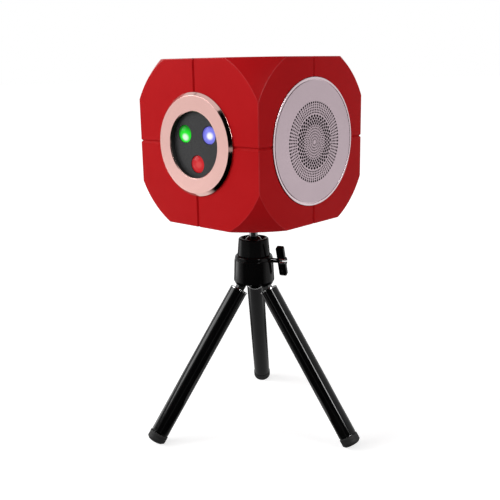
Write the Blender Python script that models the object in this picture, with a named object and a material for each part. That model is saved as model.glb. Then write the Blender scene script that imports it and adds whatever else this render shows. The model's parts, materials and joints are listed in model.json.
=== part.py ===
"""Cube speaker with a laser light projector, standing on a pocket tripod with a ball head.

The laser face looks along -Y and the right-hand grille along +X.  Lengths are in metres.
The model is laid out about the tripod's upright axis with the floor at z = 0, and is moved at
the end so that the middle of its bounding box's underside is the origin.
"""
import math

import bmesh
import bpy
from mathutils import Matrix, Vector

# Clearance between neighbouring pieces
GAP = 0.0003

# Points nearer than this are one point, and edges sharper than these are rounded or shaded sharp
MERGE_DISTANCE = 0.000001
ROUNDED_EDGE_ANGLE = 25.0
SHARP_SHADE_ANGLE = 30.0

# Cube body: a cube cut back at its corners by a sphere
CUBE_SIDE = 0.102
CORNER_SPHERE = 0.0765
EDGE_ROUND = 0.0006
WALL = 0.003
GROOVE_WIDTH = 0.0020
GROOVE_FLOOR = 0.0005
GROOVE_DEPTH = 0.0009
SPHERE_STEPS = 48
CAVITY_STEPS = 24

# Screws that hold the two halves of the body together
TOWER_SPACING = 0.072
TOWER_RADIUS = 0.0036
CASE_SCREW_RADIUS = 0.0012
CASE_SCREW_HEAD = 0.0028
CASE_SCREW_HEAD_DEPTH = 0.0015
CASE_SCREW_BITE = 0.010

# Laser face: trim ring, sunk window and three lenses
RING_BASE_RADIUS = 0.0314
RING_FRONT_RADIUS = 0.0295
RING_BORE_RADIUS = 0.0201
RING_PROUD = 0.0024
RING_STEP = 0.0007
RING_BORE_CHAMFER = 0.0005
SPIGOT_RADIUS = 0.0287
SPIGOT_WALL = 0.0044
SPIGOT_DEPTH = 0.004
WINDOW_SUNK = 0.001
WINDOW_THICKNESS = 0.002
LENS_CIRCLE = (SPIGOT_RADIUS - SPIGOT_WALL - GAP) / 2
LENS_RADIUS = 0.0051
LENS_CROWN = 0.0016
LENS_LENGTH = 0.0045
LENS_FLANGE = 0.0011
LENS_FLANGE_THICKNESS = 0.0014
LENS_ANGLES = {"green": 150.0, "blue": 30.0, "red": -90.0}

# Turning gratings behind the lenses: one pinion drives three toothed wheels
WHEEL_TEETH = 16
PINION_TEETH = 8
TOOTH_ADDENDUM = 0.00035
TOOTH_DEDENDUM = 0.00055
TOOTH_ROOT_SHARE = 0.24
TOOTH_TIP_SHARE = 0.12
GEAR_FRONT = 0.0063
GEAR_THICKNESS = 0.002
HUB_RADIUS = 0.0056
HUB_WALL = 0.001
HUB_LENGTH = 0.0025
SHAFT_RADIUS = 0.0009

# Carrier that holds the wheels, the laser modules and the motor
CARRIER_FLANGE_RADIUS = 0.033
CARRIER_FLANGE_THICKNESS = 0.0027
CARRIER_WALL = 0.0046
CARRIER_FLOOR = 0.0085
MODULE_RADIUS = 0.0044
MODULE_TAIL_RADIUS = 0.0036
MODULE_LENGTH = 0.0185
MODULE_BARREL = 0.011
MOTOR_RADIUS = 0.006
MOTOR_LENGTH = 0.012
MOTOR_SHAFT_GRIP = 0.002

# Round side grilles
GRILLE_RADIUS = 0.039
GRILLE_THICKNESS = 0.0014
GRILLE_PROUD = 0.0005
GRILLE_RECESS = 0.0012
SLOT_COUNT = 24
SLOT_INNER = 0.0177
SLOT_OUTER = 0.0247
HOLE_RINGS = ((0.0126, 0.0158), (0.0076, 0.0106))

# Loudspeaker drivers behind the grilles
DRIVER_OPENING = 0.0313
DRIVER_FLANGE_RADIUS = 0.034
DRIVER_FLANGE_THICKNESS = 0.0024
DRIVER_DEPTH = 0.0245
MAGNET_RADIUS = 0.0165
MAGNET_THICKNESS = 0.0125
COIL_RADIUS = 0.0084
CONE_RADIUS = 0.0245
SURROUND_WIDTH = 0.0044
SURROUND_RISE = 0.0010
CONE_DEPTH = 0.0075
CONE_SKIN = 0.0006
CONE_TRAVEL = 0.0005
FORMER_LENGTH = 0.010

# Control panel on the back
PANEL_RADIUS = 0.026
PANEL_OPENING = 0.0243
PANEL_PROUD = 0.0005
PANEL_THICKNESS = 0.002
PANEL_RECESS = 0.0012
BUTTON_RADIUS = 0.0035
BUTTON_PROUD = 0.0008
BUTTON_FLANGE = 0.0008
BUTTON_FLANGE_THICKNESS = 0.001
BUTTON_STEM_RADIUS = 0.0012
BUTTON_PITCH = 0.0095
BUTTON_TRAVEL = 0.0005
BOARD_DEPTH = 0.0093
BOARD_WIDTH = 0.028
BOARD_HEIGHT = 0.037
BOARD_THICKNESS = 0.0016
SWITCH_SIZE = 0.0042
SWITCH_HEIGHT = 0.0036
POST_RADIUS = 0.0018
POST_OFFSET = (0.0115, 0.0145)
PORT_WIDTH = 0.009
PORT_HEIGHT = 0.0033
PORT_WALL = 0.0005
PORT_DROP = 0.0168
PORT_CAVITY = 0.006
BUTTON_PLACES = {
    "button_play": (0, 0),
    "button_power": (0, 1),
    "button_mode": (0, -1),
    "button_volume_up": (-1, 0),
    "button_volume_down": (1, 0),
}

# Battery and tripod socket
BATTERY_WIDTH = 0.034
BATTERY_DEPTH = 0.018
BATTERY_HEIGHT = 0.056
INSERT_RADIUS = 0.0045
INSERT_LENGTH = 0.010
THREAD_RADIUS = 0.003
BOSS_RADIUS = 0.008

# Ball stud and its rubber pad
BALL_RADIUS = 0.007
NECK_RADIUS = 0.0029
BALL_TO_CUBE = 0.021
PLATE_RADIUS = 0.009
PLATE_THICKNESS = 0.0022
PAD_THICKNESS = 0.0017
THREAD_REACH = 0.007

# Head housing round the ball; heights count from the leg hinges
BALL_HEIGHT = 0.02345
HOUSING_TOP = 0.0287
HOUSING_TOP_RADIUS = 0.0100
HOUSING_FOOT_RADIUS = 0.0110
HOUSING_EDGE_ROUND = 0.0010
DISH_RADIUS = 0.0086
LIP_RADIUS = 0.0067
SPIGOT_FOOT = 0.0077
SEAT_RADIUS = 0.0068
SEAT_HOLE = 0.0032

# Crown that carries the legs
CROWN_TOP = 0.0170
CROWN_SHOULDER = 0.0029
CROWN_TOP_RADIUS = 0.0130
CROWN_RADIUS = 0.0138
CROWN_FOOT_RADIUS = 0.0124
CROWN_BOTTOM = 0.0034
CROWN_CHAMFER = 0.0028
SCALLOP_RISE = 0.0022
SCALLOP_HALF_WIDTH = 0.0075
SCALLOP_START = 0.004

# Wing screw that clamps the ball
SCREW_HEIGHT = 0.0137
SCREW_AZIMUTH = 22.0
SCREW_RADIUS = 0.0017
SCREW_TIP = 0.002
HUB_START = 0.0190
HUB_END = 0.0231
WING_HUB_RADIUS = 0.0028
WING_SPAN = 0.0230
WING_WIDTH = 0.0059
WING_START = 0.0173
WING_THICKNESS = 0.0026
WING_TURN = 22.0

# Legs
LEG_AZIMUTHS = (8.0, 128.0, 248.0)
LEG_SPREAD = 33.7
HINGE_RADIUS = 0.0074
PIN_RADIUS = 0.0011
PIN_LENGTH = 0.009
TONGUE_HALF_WIDTH = 0.0025
TONGUE_THICKNESS = 0.004
LEG_LENGTH = 0.1241
TUBE_START = 0.0071
TUBE_RADIUS = 0.0061
TUBE_WALL = 0.001
PLUG_LENGTH = 0.012
INNER_TUBE_START = 0.030
INNER_TUBE_WALL = 0.0008
FOOT_RADIUS = 0.0065
FOOT_HEIGHT = 0.0061
FOOT_ROUND = 0.002
FOOT_SOCKET = 0.0042
FOOT_FLAT = 0.0004

# How finely round pieces are faceted
FINE = 40
HEAD = 32
MEDIUM = 20
COARSE = 14
SMALL = 8

# Finishes: colour, roughness and metallic value
FINISHES = {
    "red_gloss": ((0.47, 0.016, 0.022), 0.22, 0.0),
    "rose_gold": ((0.90, 0.55, 0.50), 0.30, 0.9),
    "window_grey": ((0.045, 0.045, 0.05), 0.25, 0.0),
    "lens_green": ((0.02, 0.75, 0.06), 0.08, 0.0),
    "lens_blue": ((0.22, 0.20, 0.80), 0.08, 0.0),
    "lens_red": ((0.60, 0.02, 0.03), 0.08, 0.0),
    "grille_metal": ((0.46, 0.38, 0.40), 0.35, 0.9),
    "black_gloss": ((0.012, 0.012, 0.013), 0.15, 0.0),
    "black_matte": ((0.02, 0.02, 0.02), 0.60, 0.0),
    "black_rubber": ((0.025, 0.025, 0.025), 0.85, 0.0),
    "steel": ((0.55, 0.55, 0.56), 0.25, 1.0),
    "brass": ((0.72, 0.52, 0.20), 0.30, 1.0),
    "board_green": ((0.02, 0.16, 0.06), 0.45, 0.0),
    "battery_blue": ((0.05, 0.16, 0.42), 0.40, 0.0),
    "paper_cone": ((0.06, 0.06, 0.06), 0.75, 0.0),
}

# Heights worked out from the sizes above
HALF = CUBE_SIDE / 2
SPREAD = math.radians(LEG_SPREAD)
HINGE_HEIGHT = (
    (LEG_LENGTH - FOOT_ROUND) * math.cos(SPREAD)
    + (FOOT_RADIUS - FOOT_ROUND) * math.sin(SPREAD)
    + FOOT_ROUND
    - FOOT_FLAT
)
BALL_CENTRE = Vector((0.0, 0.0, HINGE_HEIGHT + BALL_HEIGHT))
CUBE_CENTRE = BALL_CENTRE + Vector((0.0, 0.0, BALL_TO_CUBE + HALF))
FRONT = Vector((0.0, -1.0, 0.0))
BACK = Vector((0.0, 1.0, 0.0))
RIGHT = Vector((1.0, 0.0, 0.0))
LEFT = Vector((-1.0, 0.0, 0.0))

finishes = {}


def clear_scene():
    for old in list(bpy.data.objects):
        bpy.data.objects.remove(old, do_unlink=True)


def finish(name):
    """The named Principled material, made once."""
    if name not in finishes:
        colour, roughness, metallic = FINISHES[name]
        material = bpy.data.materials.new(name)
        material.use_nodes = True
        shader = material.node_tree.nodes["Principled BSDF"]
        shader.inputs["Base Color"].default_value = (*colour, 1.0)
        shader.inputs["Roughness"].default_value = roughness
        shader.inputs["Metallic"].default_value = metallic
        material.diffuse_color = (*colour, 1.0)
        finishes[name] = material
    return finishes[name]


# Solids

def lathe(profile, segments):
    """Turn a closed outline of (radius, height) points about Z."""
    bm = bmesh.new()
    rings = []
    for radius, height in profile:
        if radius == 0.0:
            rings.append([bm.verts.new((0.0, 0.0, height))])
            continue
        angles = [2 * math.pi * i / segments for i in range(segments)]
        rings.append([
            bm.verts.new((radius * math.cos(a), radius * math.sin(a), height)) for a in angles
        ])
    for low, high in zip(rings, rings[1:] + rings[:1]):
        if len(low) == 1 and len(high) == 1:
            continue
        for i in range(segments):
            j = (i + 1) % segments
            corners = [low[i % len(low)], low[j % len(low)], high[j % len(high)], high[i % len(high)]]
            bm.faces.new(list(dict.fromkeys(corners)))
    bmesh.ops.recalc_face_normals(bm, faces=bm.faces)
    return bm


def prism(outline, low, high):
    """Extrude a closed outline of (x, y) points from one height to another."""
    bm = bmesh.new()
    bottom = [bm.verts.new((x, y, low)) for x, y in outline]
    top = [bm.verts.new((x, y, high)) for x, y in outline]
    bm.faces.new(bottom[::-1])
    bm.faces.new(top)
    for i in range(len(outline)):
        j = (i + 1) % len(outline)
        bm.faces.new((bottom[i], bottom[j], top[j], top[i]))
    bmesh.ops.recalc_face_normals(bm, faces=bm.faces)
    return bm


def block(low, high):
    """A box between two opposite corners."""
    outline = [(low[0], low[1]), (high[0], low[1]), (high[0], high[1]), (low[0], high[1])]
    return prism(outline, low[2], high[2])


def cylinder(radius, low, high, segments):
    return lathe([(0.0, low), (radius, low), (radius, high), (0.0, high)], segments)


def moved(bm, matrix):
    bmesh.ops.transform(bm, matrix=matrix, verts=bm.verts)
    return bm


def at(x, y, z=0.0):
    return Matrix.Translation((x, y, z))


def working_object(bm):
    mesh = bpy.data.meshes.new("working")
    bm.to_mesh(mesh)
    bm.free()
    made = bpy.data.objects.new("working", mesh)
    bpy.context.scene.collection.objects.link(made)
    return made


def combined(body, tool, operation):
    """Boolean of two closed solids; both are used up."""
    target = working_object(body)
    cutter = working_object(tool)
    modifier = target.modifiers.new("shape", "BOOLEAN")
    modifier.operation = operation
    modifier.solver = "EXACT"
    modifier.object = cutter
    evaluated = target.evaluated_get(bpy.context.evaluated_depsgraph_get())
    result = bmesh.new()
    result.from_mesh(evaluated.to_mesh())
    for used in (target, cutter):
        mesh = used.data
        bpy.data.objects.remove(used, do_unlink=True)
        bpy.data.meshes.remove(mesh)
    bmesh.ops.remove_doubles(result, verts=result.verts, dist=MERGE_DISTANCE / 10)
    return result


def cut(body, *tools):
    for tool in tools:
        body = combined(body, tool, "DIFFERENCE")
    return body


def joined(body, *tools):
    for tool in tools:
        body = combined(body, tool, "UNION")
    return body


# Assembly

def empty(name, place, parent=None):
    """A joint's frame; place is in the assembly's own axes."""
    holder = bpy.data.objects.new(name, None)
    holder.empty_display_size = 0.01
    bpy.context.scene.collection.objects.link(holder)
    holder["place"] = [value for row in place for value in row]
    if parent:
        holder.parent = parent
        holder.matrix_basis = assembly_place(parent).inverted() @ place
    else:
        holder.matrix_basis = place
    return holder


def assembly_place(holder):
    values = holder["place"]
    return Matrix([values[i:i + 4] for i in range(0, 16, 4)])


def piece(name, bm, finish_name, holder, place):
    """Put a finished solid into the assembly under its joint's frame."""
    mesh = bpy.data.meshes.new(name)
    bmesh.ops.recalc_face_normals(bm, faces=bm.faces)
    bm.to_mesh(mesh)
    bm.free()
    mesh.materials.append(finish(finish_name))
    mesh.shade_smooth()
    mesh.set_sharp_from_angle(angle=math.radians(SHARP_SHADE_ANGLE))
    made = bpy.data.objects.new(name, mesh)
    bpy.context.scene.collection.objects.link(made)
    made.parent = holder
    made.matrix_basis = assembly_place(holder).inverted() @ place
    return made


def facing(direction, origin):
    """Axes with Z along a level direction, Y upwards and the given origin."""
    up = Vector((0.0, 0.0, 1.0))
    side = up.cross(direction)
    turn = Matrix((side, up, direction)).transposed().to_4x4()
    return Matrix.Translation(origin) @ turn


def face_place(direction):
    """Axes on one face of the cube: Z = 0 on the face, pointing out."""
    return facing(direction, CUBE_CENTRE + direction * HALF)


# Cube body

def corner_cut_cube(half, sphere_radius, steps):
    ball = bmesh.new()
    bmesh.ops.create_uvsphere(ball, u_segments=steps, v_segments=steps // 2, radius=sphere_radius)
    return combined(block((-half, -half, -half), (half, half, half)), ball, "INTERSECT")


def rounded_edges(bm):
    """Round the cube's edges and the arcs where the corner sphere meets the faces."""
    sharp = [edge for edge in bm.edges if edge.calc_face_angle() > math.radians(ROUNDED_EDGE_ANGLE)]
    bmesh.ops.bevel(bm, geom=sharp, offset=EDGE_ROUND, offset_type="OFFSET", segments=1,
                    affect="EDGES", clamp_overlap=True)
    bmesh.ops.remove_doubles(bm, verts=bm.verts, dist=MERGE_DISTANCE)
    return bm


def groove_cutter():
    """A square band with sloping sides that cuts the groove round the plane z = 0."""
    bm = bmesh.new()
    slope = (GROOVE_WIDTH - GROOVE_FLOOR) / 2 / GROOVE_DEPTH
    outer = HALF + 2 * GROOVE_DEPTH
    outer_width = GROOVE_WIDTH / 2 + slope * 2 * GROOVE_DEPTH
    sides = []
    for half, width in ((HALF - GROOVE_DEPTH, GROOVE_FLOOR / 2), (outer, outer_width)):
        for height in (-width, width):
            square = ((-half, -half), (half, -half), (half, half), (-half, half))
            sides.append([bm.verts.new((x, y, height)) for x, y in square])
    inner_low, inner_high, outer_low, outer_high = sides
    loop = (inner_low, inner_high, outer_high, outer_low)
    for first, second in zip(loop, loop[1:] + loop[:1]):
        for i in range(4):
            j = (i + 1) % 4
            bm.faces.new((first[i], first[j], second[j], second[i]))
    bmesh.ops.recalc_face_normals(bm, faces=bm.faces)
    return bm


def on_face(bm, direction):
    """Move a solid from a face's own axes into the cube's."""
    return moved(bm, facing(direction, direction * HALF))


def body_block():
    """The whole hollow body before it is parted into halves."""
    body = rounded_edges(corner_cut_cube(HALF, CORNER_SPHERE, SPHERE_STEPS))
    for turn in (Matrix(), Matrix.Rotation(math.pi / 2, 4, "X"), Matrix.Rotation(math.pi / 2, 4, "Y")):
        body = cut(body, moved(groove_cutter(), turn))
    body = cut(body, corner_cut_cube(HALF - WALL, CORNER_SPHERE - WALL, CAVITY_STEPS))
    reach = 2 * WALL
    body = cut(body, on_face(cylinder(SPIGOT_RADIUS + GAP, -reach, reach, FINE), FRONT))
    for direction in (RIGHT, LEFT):
        body = cut(
            body,
            on_face(cylinder(GRILLE_RADIUS + GAP, -GRILLE_RECESS, reach, FINE), direction),
            on_face(cylinder(DRIVER_OPENING, -reach, reach, FINE), direction),
        )
    body = cut(
        body,
        on_face(cylinder(PANEL_RADIUS + GAP, -PANEL_RECESS, reach, FINE), BACK),
        on_face(cylinder(PANEL_OPENING, -reach, reach, FINE), BACK),
    )
    return body


def tower_places():
    half = TOWER_SPACING / 2
    return [(x, y) for x in (-half, half) for y in (-half, half)]


def build_shells(holder):
    place = Matrix.Translation(CUBE_CENTRE)
    whole = body_block()
    lower = cut(whole.copy(), block((-HALF, -HALF, -GAP / 2), (HALF, HALF, CUBE_SIDE)))
    upper = cut(whole, block((-HALF, -HALF, -CUBE_SIDE), (HALF, HALF, GAP / 2)))
    inside = HALF - WALL / 2
    hole = CASE_SCREW_RADIUS + GAP
    counterbore = GAP + CASE_SCREW_HEAD_DEPTH + GAP
    for x, y in tower_places():
        lower = joined(lower, moved(cylinder(TOWER_RADIUS, -inside, -GAP / 2, SMALL), at(x, y)))
        upper = joined(upper, moved(cylinder(TOWER_RADIUS, GAP / 2, inside, SMALL), at(x, y)))
    for x, y in tower_places():
        lower = cut(
            lower,
            moved(cylinder(hole, -HALF - WALL, WALL, SMALL), at(x, y)),
            moved(cylinder(CASE_SCREW_HEAD + GAP, -HALF - WALL, counterbore - HALF, SMALL), at(x, y)),
        )
        upper = cut(upper, moved(cylinder(hole, -WALL, CASE_SCREW_BITE + WALL, SMALL), at(x, y)))
    boss_top = INSERT_LENGTH - HALF + WALL / 2
    lower = joined(lower, cylinder(BOSS_RADIUS, -inside, boss_top, MEDIUM))
    lower = cut(lower, cylinder(INSERT_RADIUS + GAP, -HALF - WALL, boss_top + WALL, MEDIUM))
    piece("lower_shell", lower, "red_gloss", holder, place)
    piece("upper_shell", upper, "red_gloss", holder, place)
    build_case_screws(holder)


def build_case_screws(holder):
    top = GAP - HALF + CASE_SCREW_HEAD_DEPTH
    outline = [
        (0.0, GAP - HALF),
        (CASE_SCREW_HEAD, GAP - HALF),
        (CASE_SCREW_HEAD, top),
        (CASE_SCREW_RADIUS, top),
        (CASE_SCREW_RADIUS, CASE_SCREW_BITE),
        (0.0, CASE_SCREW_BITE),
    ]
    for number, (x, y) in enumerate(tower_places(), start=1):
        place = Matrix.Translation(CUBE_CENTRE) @ at(x, y)
        piece(f"case_screw_{number}", lathe(outline, SMALL), "steel", holder, place)


# Laser face

def lens_place(colour):
    angle = math.radians(LENS_ANGLES[colour])
    return at(LENS_CIRCLE * math.cos(angle), LENS_CIRCLE * math.sin(angle))


def build_bezel(holder, place):
    bore_floor = GAP - WINDOW_SUNK
    spigot_bore = SPIGOT_RADIUS - SPIGOT_WALL
    outline = [
        (RING_BORE_RADIUS, bore_floor),
        (RING_BORE_RADIUS, RING_PROUD - RING_BORE_CHAMFER),
        (RING_BORE_RADIUS + RING_BORE_CHAMFER, RING_PROUD),
        (RING_FRONT_RADIUS, RING_PROUD),
        (RING_BASE_RADIUS, RING_STEP),
        (RING_BASE_RADIUS, GAP),
        (SPIGOT_RADIUS, GAP),
        (SPIGOT_RADIUS, -SPIGOT_DEPTH),
        (spigot_bore, -SPIGOT_DEPTH),
        (spigot_bore, bore_floor),
    ]
    piece("front_bezel_ring", lathe(outline, FINE), "rose_gold", holder, place)


def build_window(holder, place):
    radius = SPIGOT_RADIUS - SPIGOT_WALL - GAP
    back = -WINDOW_SUNK - WINDOW_THICKNESS
    window = cylinder(radius, back, -WINDOW_SUNK, FINE)
    for colour in LENS_ANGLES:
        hole = cylinder(LENS_RADIUS + GAP, back - WALL, WALL, COARSE)
        window = cut(window, moved(hole, lens_place(colour)))
    piece("laser_window", window, "window_grey", holder, place)


def build_lenses(holder, place):
    """Each lens is a rod with a domed front and a flange behind the window."""
    window_back = -WINDOW_SUNK - WINDOW_THICKNESS
    flange_front = window_back - GAP
    flange_back = flange_front - LENS_FLANGE_THICKNESS
    dome_steps = 3
    dome_radius = (LENS_RADIUS ** 2 + LENS_CROWN ** 2) / (2 * LENS_CROWN)
    edge_angle = math.asin(LENS_RADIUS / dome_radius)
    dome_centre = -WINDOW_SUNK + LENS_CROWN - dome_radius
    outline = [
        (0.0, -WINDOW_SUNK - LENS_LENGTH),
        (LENS_RADIUS, -WINDOW_SUNK - LENS_LENGTH),
        (LENS_RADIUS, flange_back),
        (LENS_RADIUS + LENS_FLANGE, flange_back),
        (LENS_RADIUS + LENS_FLANGE, flange_front),
        (LENS_RADIUS, flange_front),
    ]
    for step in range(dome_steps):
        angle = edge_angle * (1 - step / dome_steps)
        outline.append((dome_radius * math.sin(angle), dome_centre + dome_radius * math.cos(angle)))
    outline.append((0.0, dome_centre + dome_radius))
    for colour in LENS_ANGLES:
        lens = lathe(outline, COARSE)
        piece(f"lens_{colour}", lens, f"lens_{colour}", holder, place @ lens_place(colour))


def gear_outline(teeth, pitch_radius):
    """Straight-flanked teeth, thinner than their gaps so that a pair turns freely."""
    points = []
    pitch = 2 * math.pi / teeth
    for tooth in range(teeth):
        for share, height in ((-TOOTH_ROOT_SHARE, -TOOTH_DEDENDUM), (-TOOTH_TIP_SHARE, TOOTH_ADDENDUM),
                              (TOOTH_TIP_SHARE, TOOTH_ADDENDUM), (TOOTH_ROOT_SHARE, -TOOTH_DEDENDUM)):
            angle = pitch * (tooth + share)
            radius = pitch_radius + height
            points.append((radius * math.cos(angle), radius * math.sin(angle)))
    return points


def pinion_pitch_radius():
    return LENS_CIRCLE * PINION_TEETH / (PINION_TEETH + WHEEL_TEETH)


def wheel_phase(lens_angle):
    """Turn that puts a gap of the wheel opposite the pinion's tooth."""
    pinion_pitch = 2 * math.pi / PINION_TEETH
    wheel_pitch = 2 * math.pi / WHEEL_TEETH
    ahead = (-lens_angle % pinion_pitch) / pinion_pitch
    return lens_angle + math.pi - (ahead + 0.5) * wheel_pitch


def carrier_floor_front():
    return GEAR_FRONT + GEAR_THICKNESS + 2 * GAP


def wheel_holder(colour, cube_holder, place):
    return empty(f"grating_{colour}_axis", place @ lens_place(colour), cube_holder)


def build_gratings(cube_holder, place):
    """Three wheels turned by one pinion; the film is the wheel's thin middle."""
    front = -GEAR_FRONT
    back = front - GEAR_THICKNESS
    overlap = GEAR_THICKNESS / 2
    wheel_radius = LENS_CIRCLE - pinion_pitch_radius()
    for colour, degrees in LENS_ANGLES.items():
        wheel = prism(gear_outline(WHEEL_TEETH, wheel_radius), back, front)
        sleeve = lathe([
            (HUB_RADIUS - HUB_WALL, back - HUB_LENGTH),
            (HUB_RADIUS, back - HUB_LENGTH),
            (HUB_RADIUS, back + overlap),
            (HUB_RADIUS - HUB_WALL, back + overlap),
        ], COARSE)
        wheel = joined(wheel, sleeve)
        holder = wheel_holder(colour, cube_holder, place)
        phase = Matrix.Rotation(wheel_phase(math.radians(degrees)), 4, "Z")
        piece(f"grating_wheel_{colour}", wheel, "black_matte", holder, assembly_place(holder) @ phase)
    pinion = prism(gear_outline(PINION_TEETH, pinion_pitch_radius()), back, front)
    shaft_end = -carrier_floor_front() - CARRIER_FLOOR - GAP - MOTOR_SHAFT_GRIP
    pinion = joined(pinion, cylinder(SHAFT_RADIUS, shaft_end, back + overlap, SMALL))
    holder = empty("grating_pinion_axis", place, cube_holder)
    piece("grating_pinion", pinion, "brass", holder, place)


def build_carrier(holder, place):
    """A cup behind the bezel: its floor has a stepped bore for each wheel and laser module."""
    flange_front = -WALL - GAP
    spigot_back = -SPIGOT_DEPTH - GAP
    bore = SPIGOT_RADIUS - SPIGOT_WALL
    floor_front = -carrier_floor_front()
    floor_back = floor_front - CARRIER_FLOOR
    outer = bore + CARRIER_WALL
    flange_back = flange_front - CARRIER_FLANGE_THICKNESS
    carrier = lathe([
        (0.0, floor_back),
        (outer, floor_back),
        (outer, flange_back),
        (CARRIER_FLANGE_RADIUS, flange_back),
        (CARRIER_FLANGE_RADIUS, flange_front),
        (SPIGOT_RADIUS + GAP, flange_front),
        (SPIGOT_RADIUS + GAP, spigot_back),
        (bore, spigot_back),
        (bore, floor_front),
        (0.0, floor_front),
    ], FINE)
    bearing_depth = HUB_LENGTH + GAP
    for colour in LENS_ANGLES:
        bearing = cylinder(HUB_RADIUS + GAP, floor_front - bearing_depth, floor_front + WALL, COARSE)
        barrel = cylinder(MODULE_RADIUS + GAP, floor_back - WALL, floor_front, COARSE)
        carrier = cut(carrier, moved(bearing, lens_place(colour)), moved(barrel, lens_place(colour)))
    shaft_hole = cylinder(SHAFT_RADIUS + 2 * GAP, floor_back - WALL, floor_front + WALL, SMALL)
    carrier = cut(carrier, shaft_hole)
    piece("laser_carrier", carrier, "black_matte", holder, place)


def build_laser_modules(holder, place):
    front = -carrier_floor_front() - HUB_LENGTH - 2 * GAP
    back = front - MODULE_LENGTH
    step = front - MODULE_BARREL
    outline = [
        (0.0, back),
        (MODULE_TAIL_RADIUS, back),
        (MODULE_TAIL_RADIUS, step),
        (MODULE_RADIUS, step),
        (MODULE_RADIUS, front),
        (0.0, front),
    ]
    for colour in LENS_ANGLES:
        module = lathe(outline, COARSE)
        piece(f"laser_module_{colour}", module, "brass", holder, place @ lens_place(colour))


def build_motor(holder, place):
    front = -carrier_floor_front() - CARRIER_FLOOR - GAP
    motor = cylinder(MOTOR_RADIUS, front - MOTOR_LENGTH, front, COARSE)
    bore = cylinder(SHAFT_RADIUS + GAP, front - MOTOR_SHAFT_GRIP - GAP, front + WALL, SMALL)
    piece("grating_motor", cut(motor, bore), "steel", holder, place)


def build_laser_face(holder):
    place = face_place(FRONT)
    build_bezel(holder, place)
    build_window(holder, place)
    build_lenses(holder, place)
    build_gratings(holder, place)
    build_carrier(holder, place)
    build_laser_modules(holder, place)
    build_motor(holder, place)


# Side grilles

def ring_points(bm, radius, count, height):
    step = 2 * math.pi / count
    return [
        bm.verts.new((radius * math.cos(step * (i - 0.5)), radius * math.sin(step * (i - 0.5)), height))
        for i in range(count)
    ]


def close_strip(bm, outer, inner):
    """Faces between two circles; the inner one may have half as many points."""
    count = len(outer)
    ratio = count // len(inner)
    for i in range(0, count, ratio):
        j = i // ratio
        k = (j + 1) % len(inner)
        fan = [outer[(i + n) % count] for n in range(ratio + 1)]
        bm.faces.new((*fan, inner[k], inner[j]))


def pierced_strip(bm, outer, inner):
    """Every second cell between two pairs of circles is a hole with walls."""
    (outer_low, outer_high), (inner_low, inner_high) = outer, inner
    count = len(outer_low)
    for i in range(count):
        j = (i + 1) % count
        if i % 2:
            bm.faces.new((outer_low[i], outer_low[j], inner_low[j], inner_low[i]))
            bm.faces.new((outer_high[i], outer_high[j], inner_high[j], inner_high[i]))
            continue
        bm.faces.new((outer_low[i], outer_low[j], outer_high[j], outer_high[i]))
        bm.faces.new((inner_low[i], inner_low[j], inner_high[j], inner_high[i]))
        bm.faces.new((outer_low[i], inner_low[i], inner_high[i], outer_high[i]))
        bm.faces.new((outer_low[j], inner_low[j], inner_high[j], outer_high[j]))


def build_grille(side, direction, holder):
    """A flat disc with a ring of radial slots and two rings of holes inside it."""
    bm = bmesh.new()
    back = GRILLE_PROUD - GRILLE_THICKNESS
    levels = (back, GRILLE_PROUD)
    slots = 2 * SLOT_COUNT
    circles = [(GRILLE_RADIUS, slots), (SLOT_OUTER, slots), (SLOT_INNER, slots)]
    for inner, outer in HOLE_RINGS:
        circles += [(outer, SLOT_COUNT), (inner, SLOT_COUNT)]
    pairs = [tuple(ring_points(bm, radius, count, z) for z in levels) for radius, count in circles]
    pierced = {(i, i + 1) for i in range(1, len(pairs), 2)}
    for i in range(len(pairs) - 1):
        if (i, i + 1) in pierced:
            pierced_strip(bm, pairs[i], pairs[i + 1])
            continue
        for level in range(2):
            close_strip(bm, pairs[i][level], pairs[i + 1][level])
    rim_low, rim_high = pairs[0]
    for i in range(slots):
        j = (i + 1) % slots
        bm.faces.new((rim_low[i], rim_low[j], rim_high[j], rim_high[i]))
    for loop in pairs[-1]:
        bm.faces.new(loop)
    bmesh.ops.recalc_face_normals(bm, faces=bm.faces)
    piece(f"grille_{side}", bm, "grille_metal", holder, face_place(direction))


# Loudspeaker drivers

def driver_levels():
    """Heights along the driver's axis, counted from the cube's face."""
    flange_front = -WALL - GAP
    ledge = flange_front - SURROUND_RISE - CONE_TRAVEL
    plate = flange_front - DRIVER_DEPTH + MAGNET_THICKNESS
    back = flange_front - DRIVER_DEPTH
    return flange_front, ledge, plate, back


def build_driver_frame(side, holder, place):
    """Basket, magnet and pole piece in one, with the ring-shaped gap for the coil."""
    flange_front, ledge, plate, back = driver_levels()
    flange_back = flange_front - DRIVER_FLANGE_THICKNESS
    rim = CONE_RADIUS + SURROUND_WIDTH + GAP
    gap_outer = COIL_RADIUS + 2 * GAP
    gap_inner = COIL_RADIUS - CONE_SKIN - 2 * GAP
    coil_floor = plate - FORMER_LENGTH + 2 * CONE_TRAVEL
    basket_wall = 0.0012
    frame = lathe([
        (0.0, back),
        (MAGNET_RADIUS, back),
        (MAGNET_RADIUS, plate - basket_wall),
        (CONE_RADIUS + 2 * basket_wall, flange_back),
        (DRIVER_FLANGE_RADIUS, flange_back),
        (DRIVER_FLANGE_RADIUS, flange_front),
        (rim, flange_front),
        (rim, ledge),
        (CONE_RADIUS + basket_wall, ledge),
        (MAGNET_RADIUS - basket_wall, plate),
        (gap_outer, plate),
        (gap_outer, coil_floor),
        (gap_inner, coil_floor),
        (gap_inner, plate),
        (0.0, plate),
    ], MEDIUM)
    piece(f"driver_frame_{side}", frame, "black_matte", holder, place)


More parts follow.
